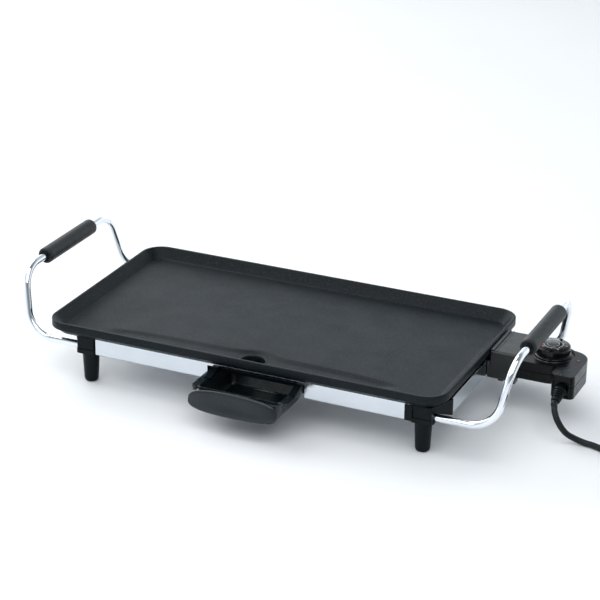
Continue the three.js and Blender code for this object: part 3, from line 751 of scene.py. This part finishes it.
def pull_rings(bottom):
    """The tray's leaning oval pull, from its back over its rounded border to its dished middle."""
    half_width, half_height, tilt = (TRAY_PULL[key] for key in ("half_width", "half_height", "tilt"))
    upward = Vector((0, math.sin(tilt), math.cos(tilt)))
    outward = Vector((0, -math.cos(tilt), math.sin(tilt)))
    origin = Vector((TRAY_PULL["x"], TRAY["front"] - 2, bottom + half_height + 1.5))
    border = [(0.90, -1.5), (0.965, -1.2), (0.992, -0.2), (1.0, 1.2), (0.996, 2.2), (0.975, 3.1)]
    dish = [(0.93, 3.75), (0.86, 4.2), (0.74, 4.45), (0.6, 4.3), (0.42, 3.95), (0.22, 3.6), (0.06, 3.5)]
    rings = []
    for scale, out in border + dish:
        ring = []
        for step in range(TRAY_PULL["points"]):
            angle = 2 * math.pi * step / TRAY_PULL["points"]
            power = TRAY_PULL["upper_power" if math.sin(angle) > 0 else "lower_power"]
            x = half_width * scale * signed_power(math.cos(angle), TRAY_PULL["upper_power"])
            z = half_height * scale * signed_power(math.sin(angle), power)
            bow = TRAY_PULL["bow"] * (x / half_width) ** 2 * fade(out, 1, 3.5)
            ring.append(origin + Vector((x, 0, 0)) + upward * z + outward * (out - bow))
        rings.append(ring)
    return rings


def build_tray():
    """The pan, its pull, the pad between them and a bead at each front corner."""
    (x0, x1), _, (bottom, _) = span("grease_tray")
    centre, front, rim, pull_x = (x0 + x1) / 2, TRAY["front"], TRAY["rim"], TRAY_PULL["x"]
    tray = tray_pan().loft(pull_rings(bottom))
    tray.block(pull_x - 36, pull_x + 41, front - 2.5, front + 1, bottom + 5, bottom + 24)
    for sign in (-1, 1):
        bead = sorted((centre + sign * 51.5, centre + sign * 51.5 + sign * 3.4))
        tray.block(*bead, front + 2.2, front + 8, 44, rim + 0.7)
    piece("grease_tray", tray, PULL, "grease_tray", edge=0.35, segments=2, angle=50)


build_tray()

GUIDE = {"front": -123.6, "arm_tip": -146.8, "arm_root": -120, "inner": 47.5, "arm_side": 55.3, "shelf": 51.7}


def build_guide():
    """Two rails joined at both ends, each with an arm that reaches forward over the tray's rim."""
    (x0, x1), (_, back), (lower, _) = span("tray_guide")
    centre, half = (x0 + x1) / 2, (x1 - x0) / 2
    front, tip, root, inner = GUIDE["front"], GUIDE["arm_tip"], GUIDE["arm_root"], GUIDE["inner"]
    rim = TRAY["rim"]
    over, top = rim + 0.5, rim + 3.3
    slope = [(root, 55), (-127, 55), (-131, 54.4), (-137, 52.6), (-143, 50.8), (tip, 50.2)]
    arm = [(tip, over), (root, over), *slope]
    ridge = [(y, z + 0.5) for y, z in slope] + [(tip, rim + 0.6), (root, rim + 0.6)]
    guide = Shape()

    def reach(sign, near, far):
        """The range in x between two distances from the guide's middle."""
        return sorted((centre + sign * near, centre + sign * far))

    for sign in (-1, 1):
        guide.block(*reach(sign, half - 3, half), front, back, lower, top)
        guide.block(*reach(sign, inner, half), front, back, over, top)
        guide.block(*reach(sign, GUIDE["shelf"], half), front, back, lower, rim - 2.8)
        guide.prism_x(arm, *reach(sign, inner, GUIDE["arm_side"]))
        guide.prism_x(ridge, *reach(sign, inner - 0.2, inner + 1.1))
    guide.block(x0, x1, back - 3, back, lower, top)
    guide.block(x0, x1, front, front + 2, over, top + 2)
    piece("tray_guide", guide, PLASTIC, "griddle", edge=0.4, segments=2)


build_guide()


# ---------- inlet guard ----------

INLET_GUARD = {"bottom": 36, "top": 70, "wall": 3, "root_top": 56.6, "pad": 11}


def build_guard():
    """The hollow guard round the inlet, with its root under the plate, two top ridges and four pads."""
    (x0, x1), (y0, y1), _ = span("inlet_guard")
    bottom, top, wall, pad = (INLET_GUARD[key] for key in ("bottom", "top", "wall", "pad"))
    y, z = (y0 + y1) / 2, (bottom + top) / 2
    face = span("griddle_plate")[0][1] + 1

    def ring(x, inset):
        outline = rounded(y1 - y0 - 2 * inset, top - bottom - 2 * inset, max(3 - inset, 1), y, z, corner=5)
        return [(x, py, pz) for py, pz in outline]

    guard = Shape().loft([
        ring(face, 0.8), ring(face + 0.8, 0), ring(x1 - 0.7, 0), ring(x1, 0.6), ring(x1, wall - 0.4),
        ring(x1 - 1.2, wall), ring(face + 4, wall),
    ])
    guard.block(x0, face + 1, y0 + 1, y1 - 1, bottom + 1, INLET_GUARD["root_top"])
    guard.block(face, face + 3.5, y0 + 1, y1 - 1, top - 1, top + 1.3)
    guard.block(face + 6, face + 7.2, y0 + 1.5, y1 - 1.5, top - 1, top + 0.35)
    for start, end in ((y0 + 1, y0 + 1 + pad), (y1 - 1 - pad, y1 - 1)):
        guard.block(x1 - 7, x1 - 0.2, start, end, bottom - 2, bottom + 1)
        guard.block(x1 - 20, x1 - 14, start, end - 4, bottom - 1.2, bottom + 1)
    piece("inlet_guard", guard, GUARD, "griddle", edge=0.45)


build_guard()


# ---------- plug-in control ----------

CONTROL = {
    "y": 49.5, "axis": 53, "seam": 0.35, "dial_x": 296, "half": 29.5, "top": 64, "bottom": 42,
    "body_x0": 263.6, "nose_half": 26, "end_x0": 310.5, "end_y1": 68, "end_top": 66, "end_drop": 3,
}
END_CORNERS = {"front": 6, "outer": 23, "inner": 3}
DIAL_CENTRE = (CONTROL["dial_x"], CONTROL["y"], 0)
DIAL_SEAT = {"radius": 24.8, "height": 9}
LAMP_HOLE = {"x": 328, "y": 42.5, "radius": 2.9}


def control_plan(shape, z0, z1, end_bottom, end_top):
    """The control's outline in plan: nose, body with its round dial seat, and end block."""
    (nose, end_x1), (end_y0, _), _ = span("control_upper_shell")
    y, dial_x, half = CONTROL["y"], CONTROL["dial_x"], CONTROL["half"]
    body, nose_half, end_x0, end_y1 = (CONTROL[key] for key in ("body_x0", "nose_half", "end_x0", "end_y1"))
    front, outer, inner = END_CORNERS["front"], END_CORNERS["outer"], END_CORNERS["inner"]
    shape.block(nose, body + 6, y - nose_half, y + nose_half, z0 + 1, z1 - 1)
    seat = arc((dial_x, y), half, -90, 90, 28)
    shape.prism([(body, y - half), *seat, (body, y + half)], z0, z1)
    outline = [
        *arc((end_x1 - front, end_y0 + front), front, -90, 0, 8),
        *arc((end_x1 - outer, end_y1 - outer), outer, 0, 90, 18),
        *arc((end_x0 + inner, end_y1 - inner), inner, 90, 180, 4),
        *arc((end_x0 + front, end_y0 + front), front, 180, 270, 8),
    ]
    shape.prism(outline, min(z0, end_bottom), end_top)
    shape.block(dial_x, end_x0 + 12, y - 20, y + 14, z0 + 0.2, z1 - 0.2)


def build_control():
    """The control's two shells, with a seat for the dial, a hole for the lamp and a niche for the cord."""
    axis, seam = CONTROL["axis"], CONTROL["seam"]
    top, bottom, end_top = CONTROL["top"], CONTROL["bottom"], CONTROL["end_top"]
    upper = Shape()
    control_plan(upper, axis + seam, top, axis + seam, end_top)
    seat_profile = [(DIAL_SEAT["radius"], top), (DIAL_SEAT["radius"], top + DIAL_SEAT["height"])]
    seat = Shape().lathe(seat_profile, DIAL_CENTRE, segments=72)
    lamp_profile = [(LAMP_HOLE["radius"], end_top - 3), (LAMP_HOLE["radius"], end_top + 3)]
    lamp = Shape().lathe(lamp_profile, (LAMP_HOLE["x"], LAMP_HOLE["y"], 0), segments=32)
    niche_x, niche_y = span("strain_relief")[0], span("control_upper_shell")[1][0]
    niche = Shape().block(niche_x[0] - 1.4, niche_x[1] + 1.4, niche_y - 3, niche_y + 1.8, bottom - 1, 59.5)
    cuts = [seat, lamp, niche]
    nodes = ["control_upper_shell"]
    piece("control_upper", upper, HOUSING, "control", nodes, tools=cuts, edge=0.7, angle=40)
    lower = Shape()
    control_plan(lower, bottom + 0.15, axis - seam, bottom - CONTROL["end_drop"], axis - seam)
    nodes = ["control_lower_shell"]
    piece("control_lower", lower, HOUSING, "control", nodes, tools=[niche], edge=0.6, angle=40)


def build_probe():
    """The probe, with its rounded tip and a collar near its root."""
    (x0, x1), _, _ = span("temperature_probe")
    tip, along, length, radius = (x0, CONTROL["y"], CONTROL["axis"]), (1, 0, 0), x1 - x0, 3
    probe = Shape().lathe([(1.2, 0), (1.8, 0.5), (2.6, 2), (radius, 3.4), (radius, length)], tip, along, 36)
    collar = length - 17
    probe.lathe([(radius, collar - 0.6), (4.6, collar), (4.6, collar + 3)], tip, along, 36)
    piece("temperature_probe", probe, STEEL, "control", angle=50)


build_control()
build_probe()


# ---------- dial ----------

INK_HEIGHT = 0.12
SCALE = {"start": -40, "sweep": 340, "marks": 16, "radius": 12.3}
OFF_MARK = {"inner": 13.0, "outer": 15.0, "start": 196, "end": 240}
DIGITS = {"count": 5, "first": 170, "step": 56, "radius": 15.0, "size": 4.8, "extrude": 0.07, "lift": 0.05}


def spokes(degrees):
    """Directions out along an angle seen from above, and across it."""
    angle = math.radians(degrees)
    outward = Vector((math.cos(angle), math.sin(angle), 0))
    return outward, Vector((-math.sin(angle), math.cos(angle), 0))


def dial_mark(degrees, width, length, z):
    """A short bar on the dial's face, pointing at its middle."""
    outward, across = spokes(degrees)
    centre = Vector(DIAL_CENTRE) + outward * SCALE["radius"]
    corners = [
        centre + outward * a * length / 2 + across * b * width / 2
        for a, b in ((-1, -1), (1, -1), (1, 1), (-1, 1))
    ]
    return [[(corner.x, corner.y, height) for corner in corners] for height in (z, z + INK_HEIGHT)]


def dial_arc(inner, outer, start, end, z):
    """A curved stripe on the dial's face."""
    outline = arc(DIAL_CENTRE, outer, start, end, 40) + arc(DIAL_CENTRE, inner, end, start, 40)
    return [[(x, y, height) for x, y in outline] for height in (z, z + INK_HEIGHT)]


def build_knob():
    """The knob, with a foot flange and a groove round its side."""
    (x0, x1), _, (bottom, top) = span("dial_knob")
    radius = (x1 - x0) / 2
    foot = [
        (radius - 0.5, bottom), (radius, bottom + 0.5), (radius, bottom + 2.0), (radius - 0.6, bottom + 2.6),
    ]
    groove = [(radius - 1.9, bottom + 3.1), (radius - 2.1, bottom + 3.9), (radius - 1.3, bottom + 4.6)]
    side = [(radius - 1.1, bottom + 5.4), (radius - 1.25, top - 2.0), (radius - 1.5, top - 0.9)]
    crown = [(radius - 2.2, top - 0.2), (radius - 3.0, top), (radius - 3.3, top - 0.25)]
    knob = Shape().lathe(foot + groove + side + crown, DIAL_CENTRE, segments=96)
    piece("dial_knob", knob, GLOSS, "dial", angle=50)


def build_face():
    """The face plate let into the knob. Gives back the height of its top."""
    (x0, x1), _, (low, high) = span("dial_face")
    radius, top = (x1 - x0) / 2, high - 0.2
    profile = [(radius, low - 0.4), (radius, high - 0.35), (radius - 0.3, top)]
    plate = Shape().lathe(profile, DIAL_CENTRE, segments=96)
    piece("dial_face", plate, GLOSS, "dial", ["dial_face"], slot="dial_print", angle=50)
    return top


def build_marks(ink):
    """Two printed circles, a scale of short bars and the red arc at off."""
    marks = Shape().loft(dial_arc(10.6, 11.3, SCALE["start"], SCALE["start"] + SCALE["sweep"], ink))
    marks.loft(dial_arc(6.6, 7.0, 0, 359, ink))
    for step in range(SCALE["marks"]):
        marks.loft(dial_mark(SCALE["start"] + step * SCALE["sweep"] / (SCALE["marks"] - 1), 0.5, 1.3, ink))
    piece("dial_marks", marks, PALE_INK, "dial", slot="dial_print", merge=False, angle=50)
    off = Shape().loft(dial_arc(*OFF_MARK.values(), ink))
    piece("dial_off_mark", off, RED_INK, "dial", slot="dial_print", angle=50)


def build_number(digit, ink):
    """One of the dial's numbers, with its head outwards."""
    angle = math.radians(DIGITS["first"] - DIGITS["step"] * (digit - 1))
    text = bpy.data.curves.new(f"dial_digit_{digit}", "FONT")
    text.body = str(digit)
    text.size = DIGITS["size"] * MM
    text.extrude = DIGITS["extrude"] * MM
    text.align_x = "CENTER"
    text.align_y = "CENTER"
    drawn = add_object(f"dial_digit_{digit}", text)
    x = CONTROL["dial_x"] + DIGITS["radius"] * math.cos(angle)
    y = CONTROL["y"] + DIGITS["radius"] * math.sin(angle)
    upright = Matrix.Rotation(angle - math.pi / 2, 4, "Z")
    turn = Matrix.Translation(place(x, y, ink + DIGITS["lift"])) @ upright
    graph = bpy.context.evaluated_depsgraph_get()
    data = bpy.data.meshes.new_from_object(drawn.evaluated_get(graph))
    data.transform(turn)
    bpy.data.objects.remove(drawn)
    finish_piece(add_object(f"dial_number_{digit}", data), PALE_INK, "dial", slot="dial_print")


def build_trim_ring():
    """A fine ring of round section, on the control round the dial's seat."""
    (x0, x1), _, (low, _) = span("dial_trim_ring")
    radius, thick = (x1 - x0) / 2 - 2.3, 0.3
    section = arc((radius, low + thick), thick, 0, 360, 16)[:-1]
    ring = Shape().lathe(section, DIAL_CENTRE, segments=96, loop=True)
    # The ring's dim grey chrome is painted shade from the knob above it.
    piece("dial_trim_ring", ring, RING, "control", angle=60)


def build_lens():
    """The pilot light's domed lens."""
    (x0, x1), (y0, y1), (low, high) = span("pilot_lens")
    radius, dome = (x1 - x0) / 2, 1.6
    profile = [(radius * 0.9, low), (radius, low + 0.3), (radius, high - dome)]
    profile += [
        (radius * math.cos(angle), high - dome + dome * math.sin(angle))
        for angle in (0.3, 0.6, 0.9, 1.2, 1.5)
    ]
    lens = Shape().lathe(profile, ((x0 + x1) / 2, (y0 + y1) / 2, 0), segments=40)
    piece("pilot_lens", lens, LENS, "control", angle=60)


build_knob()
ink_level = build_face()
build_marks(ink_level)
for dial_digit in range(1, DIGITS["count"] + 1):
    build_number(dial_digit, ink_level)
build_trim_ring()
build_lens()


# ---------- cord ----------

CORD_RADIUS = 3.5
EXIT = Vector((323, -3, 49.5))
DROOP = Vector((0, -0.945, -0.327)).normalized()
RELIEF = {"length": 20, "ribs": 4, "first_rib": 5.4, "rib_radius": 6.7, "taper": 0.42}
COIL = {"x": 457.2, "y": -100.6, "outer": 44.5, "pitch": 7.2, "layer": 3.6, "rise": 7.2}
COIL_TURNS = {"first": 576, "climb": 108, "all": 1260, "step": 9}


def build_relief():
    """The tapering sleeve that the cord leaves the control through: flange, ribs and tip."""
    length, ribs, first = RELIEF["length"], RELIEF["ribs"], RELIEF["first_rib"]
    profile = [(4.6, -5.2), (4.6, 1.8), (7.1, 2.2), (7.4, 2.8), (7.3, 4.6), (6.9, 5.2)]
    end = length - 0.8
    rib = (end - first - 1) / ribs
    for index in range(ribs):
        radius, at = RELIEF["rib_radius"] - RELIEF["taper"] * index, first + index * rib
        profile += [(radius - 1.3, at + 0.3), (radius - 1.3, at + 0.9)]
        profile += [(radius, at + 1.3), (radius - 0.12, at + rib - 0.2)]
    profile += [(4.9, end - 0.5), (4.7, length)]
    node, relief = "strain_relief", Shape().lathe(profile, EXIT, DROOP, 44)
    return piece(node, relief, PLASTIC, "control", edge=0.2, segments=2, angle=45)


def catmull_rom(points, steps=8):
    """A smooth curve through points, by the centripetal rule."""
    ends = [2 * points[0] - points[1], *points, 2 * points[-1] - points[-2]]
    curve = []
    for a, b, c, d in zip(ends, ends[1:], ends[2:], ends[3:]):
        knots = [0.0]
        for p, q in ((a, b), (b, c), (c, d)):
            knots.append(knots[-1] + (q - p).length ** 0.5)
        t0, t1, t2, t3 = knots
        for step in range(steps):
            t = t1 + (t2 - t1) * step / steps
            ab = a.lerp(b, (t - t0) / (t1 - t0))
            bc = b.lerp(c, (t - t1) / (t2 - t1))
            cd = c.lerp(d, (t - t2) / (t3 - t2))
            early = ab.lerp(bc, (t - t0) / (t2 - t0))
            late = bc.lerp(cd, (t - t1) / (t3 - t1))
            curve.append(early.lerp(late, (t - t1) / (t2 - t1)))
    return curve + [points[-1]]


def cord_route():
    """The cord from the relief's tip, down to the table and over it to the side of the coil."""
    leaving = [EXIT + DROOP * (RELIEF["length"] + 0.3), EXIT + DROOP * (RELIEF["length"] + 3.8)]
    falling = [
        (324.2, -26.8, 39.1), (325.2, -29.4, 36.7), (329.1, -33.5, 29.8), (332.2, -34.8, 25.3),
        (335.9, -35, 20), (342.1, -32.7, 12.5), (350.9, -29.1, 6.9), (361, -28, 3.9), (371, -29.5, 3.65),
    ]
    lying = [
        (381, -33), (392.7, -37.5), (403.3, -46.4), (410.3, -58.4), (412.4, -66), (412.7, -74.1),
        (412.7, -87),
    ]
    points = falling + [(x, y, COIL["layer"]) for x, y in lying]
    return leaving + [Vector(point) for point in points]


def coil_route():
    """Flat turns inwards on the table, a climb, and flat turns outwards on top of them."""
    points = []
    first, climb = COIL_TURNS["first"], COIL_TURNS["climb"]
    for degrees in range(0, COIL_TURNS["all"] + 1, COIL_TURNS["step"]):
        inward = COIL["pitch"] * min(degrees, first) / 360
        outward = COIL["pitch"] * max(degrees - first - climb, 0) / 360
        radius = COIL["outer"] - inward + outward
        angle = math.radians(180 + degrees)
        x, y = COIL["x"] + radius * math.cos(angle), COIL["y"] + radius * math.sin(angle)
        points.append(Vector((x, y, COIL["layer"] + COIL["rise"] * fade(degrees, first, first + climb))))
    return points


def build_plug_body():
    """The plug's body with its grooved grip, and the ribbed sleeve where the cord goes in."""
    (x0, x1), (y0, face), (z0, z1) = span("plug_body")
    x, middle_z, width, height = (x0 + x1) / 2, (z0 + z1) / 2, x1 - x0, z1 - z0
    entry, neck, half, grooves = 11.5, y0 + 15, width / 2, 4

    def ring(y, across, high, radius):
        return [(px, y, pz) for px, pz in rounded(across, high, radius, x, middle_z, corner=8)]

    rings = [ring(neck - 0.5, 11, 10, 4.6), ring(neck + 1.5, 15, 14, 5.6)]
    rings += [ring(neck + 4, half * 1.7, height * 0.84, 6.5), ring(neck + 7, half * 1.86, height * 0.92, 7)]
    for index in range(grooves):
        at = neck + 9 + index * 3.6
        groove = (half * 1.76, height * 0.87, 6.6)
        rings += [ring(at, half * 1.86, height * 0.93, 7), ring(at + 0.5, *groove)]
        rings += [ring(at + 1.5, *groove), ring(at + 2.0, half * 1.88, height * 0.94, 7)]
    rings += [ring(face - 7.5, half * 2, height, 6), ring(face - 0.8, half * 2, height, 6)]
    rings += [ring(face, half * 2 - 1.6, height - 1.6, 5.2)]
    body = Shape().loft(rings)
    sleeve = [(4.4, 0), (4.6, 0.6)]
    for index in range(grooves):
        at, grow = 1.2 + index * 3.4, index * 0.3
        sleeve += [(5.0 + grow, at), (5.0 + grow, at + 1.9), (4.2 + grow, at + 2.3), (4.2 + grow, at + 3.0)]
    sleeve += [(6.0, 15.5)]
    body.lathe(sleeve, (x, y0, entry), (0, 1, 0.045), 40)
    return piece("plug_body", body, PLASTIC, "control", edge=0.25, segments=2, angle=40)


def build_blade(side):
    """One of the plug's flat blades, with a hole near its tip."""
    node = f"plug_blade_{side}"
    (x0, x1), (y0, y1), (z0, z1) = span(node)
    x, z = (x0 + x1) / 2, (z0 + z1) / 2
    rings = []
    for y, trim in ((y0 - 0.3, 0), (y1 - 1.6, 0), (y1, 0.7)):
        outline = rounded(x1 - x0 - trim, z1 - z0 - 3 * trim, 0.3, x, z, corner=3)
        rings.append([(px, y, pz) for px, pz in outline])
    hole = Shape().lathe([(1.5, -3), (1.5, 3)], (x, y1 - 4.5, z), (1, 0, 0), 24)
    return piece(node, Shape().loft(rings), BRASS, "control", tools=[hole], angle=40)


def build_earth_pin():
    """The plug's round earth pin, with its rounded tip."""
    (x0, x1), (y0, y1), (z0, z1) = span("plug_earth_pin")
    radius, length = (x1 - x0) / 2, y1 - y0
    profile = [
        (radius, -0.3), (radius, length - 2.4), (radius * 0.9, length - 1.2), (radius * 0.6, length - 0.35),
        (radius * 0.2, length),
    ]
    pin = Shape().lathe(profile, ((x0 + x1) / 2, y0, (z0 + z1) / 2), (0, 1, 0), 32)
    return piece("plug_earth_pin", pin, BRASS, "control", angle=50)


def build_tie():
    """A strap round the coil's turns, which keeps it together."""
    low, width, thick, bend = 0.15, 7, 0.9, 3.4
    height = COIL["layer"] + COIL["rise"] + CORD_RADIUS - low + 0.3
    inner, outer = COIL["outer"] - 2 * COIL["pitch"] + 1.6 - CORD_RADIUS, COIL["outer"] + CORD_RADIUS + 0.1
    outward, across = spokes(-62)
    centre = Vector((COIL["x"], COIL["y"], 0))

    def ring(shift, grow):
        reach, rise = (inner + outer) / 2, low + height / 2 + grow / 2
        outline = rounded(outer - inner + 2 * grow, height + grow, bend, reach, rise, corner=6)
        return [centre + outward * r + across * shift + Vector((0, 0, z)) for r, z in outline]

    start, end = -width / 2, width / 2
    strap = Shape().loft([ring(start, 0), ring(start, thick), ring(end, thick), ring(end, 0)], loop=True)
    return piece("cord_tie", strap, PLASTIC, "control", slot="black_plastic", edge=0.2, segments=2)


def build_cord():
    """The whole cord as one tube: the droop, the run over the table, the coil and the lead to the plug."""
    relief = build_relief()
    coil = coil_route()
    last, plug_y = coil[-1], span("plug_body")[1][0] - 0.3
    lead = [
        Vector((last.x, last.y + (plug_y - last.y) * t, last.z + 0.7 * fade(t, 0, 1)))
        for t in (0.25, 0.5, 0.75, 1)
    ]
    line = catmull_rom(cord_route(), 8)[:-1] + catmull_rom([*coil, *lead], 2)
    data = bpy.data.curves.new("power_cord", "CURVE")
    data.dimensions = "3D"
    spline = data.splines.new("POLY")
    spline.points.add(len(line) - 1)
    for target, point in zip(spline.points, line):
        target.co = (*place(*point), 1)
    data.bevel_depth = CORD_RADIUS * MM
    data.bevel_resolution = 6
    data.use_fill_caps = True
    data.materials.append(JACKET.material)
    cord = add_object("power_cord_shown", data)
    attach(cord, "control")
    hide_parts("power_cord", "cord_coil")
    tie = build_tie()
    plug = [build_plug_body(), *(build_blade(side) for side, _ in SIDES), build_earth_pin()]


build_cord()


# ---------- studio ----------

FLOOR_HALF = 9


def make_floor():
    """A plain pale floor, much larger than the view."""
    data = bpy.data.meshes.new("floor")
    work = bmesh.new()
    bmesh.ops.create_grid(work, x_segments=4, y_segments=4, size=FLOOR_HALF)
    work.to_mesh(data)
    work.free()
    floor = add_object("floor", data)
    look = Look("floor", (0.86, 0.88, 0.90), 0.55)
    look.tint((400, 2), (0.88, 0.895, 0.91))
    floor.data.materials.append(look.material)


def area_light(name, spot, size, watts, colour):
    """A soft rectangular light that shines at the griddle."""
    data = bpy.data.lights.new(name, "AREA")
    data.shape = "RECTANGLE"
    data.size, data.size_y = size
    data.energy = watts
    data.color = colour
    light = add_object(name, data)
    light.location = spot
    light.rotation_euler = (-Vector(spot)).to_track_quat("-Z", "Y").to_euler()


# The surround's brightness, from its dark side (0) to its bright side (1).
SURROUND = ((0.0, 0.16), (0.18, 0.50), (0.38, 0.82), (0.62, 1.0), (1.0, 1.22))
BRIGHT_SIDE = Vector((-0.6, 0.6, 0.0)).normalized()
COOL = (0.87, 0.94, 1)
# Its strength falls from the third number at the first height to the fourth at the second.
OVERHEAD = (0.0, 0.75, 1.8, 0.3)


def make_world():
    """A bright surround to the left and behind, falling off to the right front and overhead."""
    world = bpy.data.worlds.new("studio")
    bpy.context.scene.world = world
    world.use_nodes = True
    tree = world.node_tree
    shine = tree.nodes["Background"]
    direction = tree.nodes.new("ShaderNodeTexCoord").outputs["Generated"]
    dot = tree.nodes.new("ShaderNodeVectorMath")
    dot.operation = "DOT_PRODUCT"
    dot.inputs[1].default_value = BRIGHT_SIDE
    ramp = tree.nodes.new("ShaderNodeValToRGB")
    ramp.color_ramp.elements[0].position = SURROUND[0][0]
    ramp.color_ramp.elements[1].position = SURROUND[-1][0]
    for position, _ in SURROUND[1:-1]:
        ramp.color_ramp.elements.new(position)
    for element, (_, level) in zip(ramp.color_ramp.elements, SURROUND):
        element.color = (*(level * channel for channel in COOL), 1)
    shift = tree.nodes.new("ShaderNodeMapRange")
    shift.inputs[1].default_value = -1
    height = tree.nodes.new("ShaderNodeSeparateXYZ")
    overhead = tree.nodes.new("ShaderNodeMapRange")
    for index, number in enumerate(OVERHEAD, start=1):
        overhead.inputs[index].default_value = number
    for output, target in (
        (direction, height.inputs[0]), (height.outputs["Z"], overhead.inputs[0]),
        (overhead.outputs[0], shine.inputs["Strength"]), (direction, dot.inputs[0]),
        (dot.outputs["Value"], shift.inputs[0]), (shift.outputs[0], ramp.inputs["Fac"]),
        (ramp.outputs["Color"], shine.inputs["Color"]),
    ):
        tree.links.new(output, target)


make_floor()
make_world()
area_light("key", spot=(-2.0, 0.7, 1.9), size=(2.8, 2.4), watts=56, colour=(1.0, 0.98, 0.955))
area_light("fill", spot=(0.3, -1.1, 2.2), size=(3.2, 2.4), watts=49, colour=(0.975, 0.985, 1.0))

bpy.context.scene.view_settings.view_transform = "Standard"
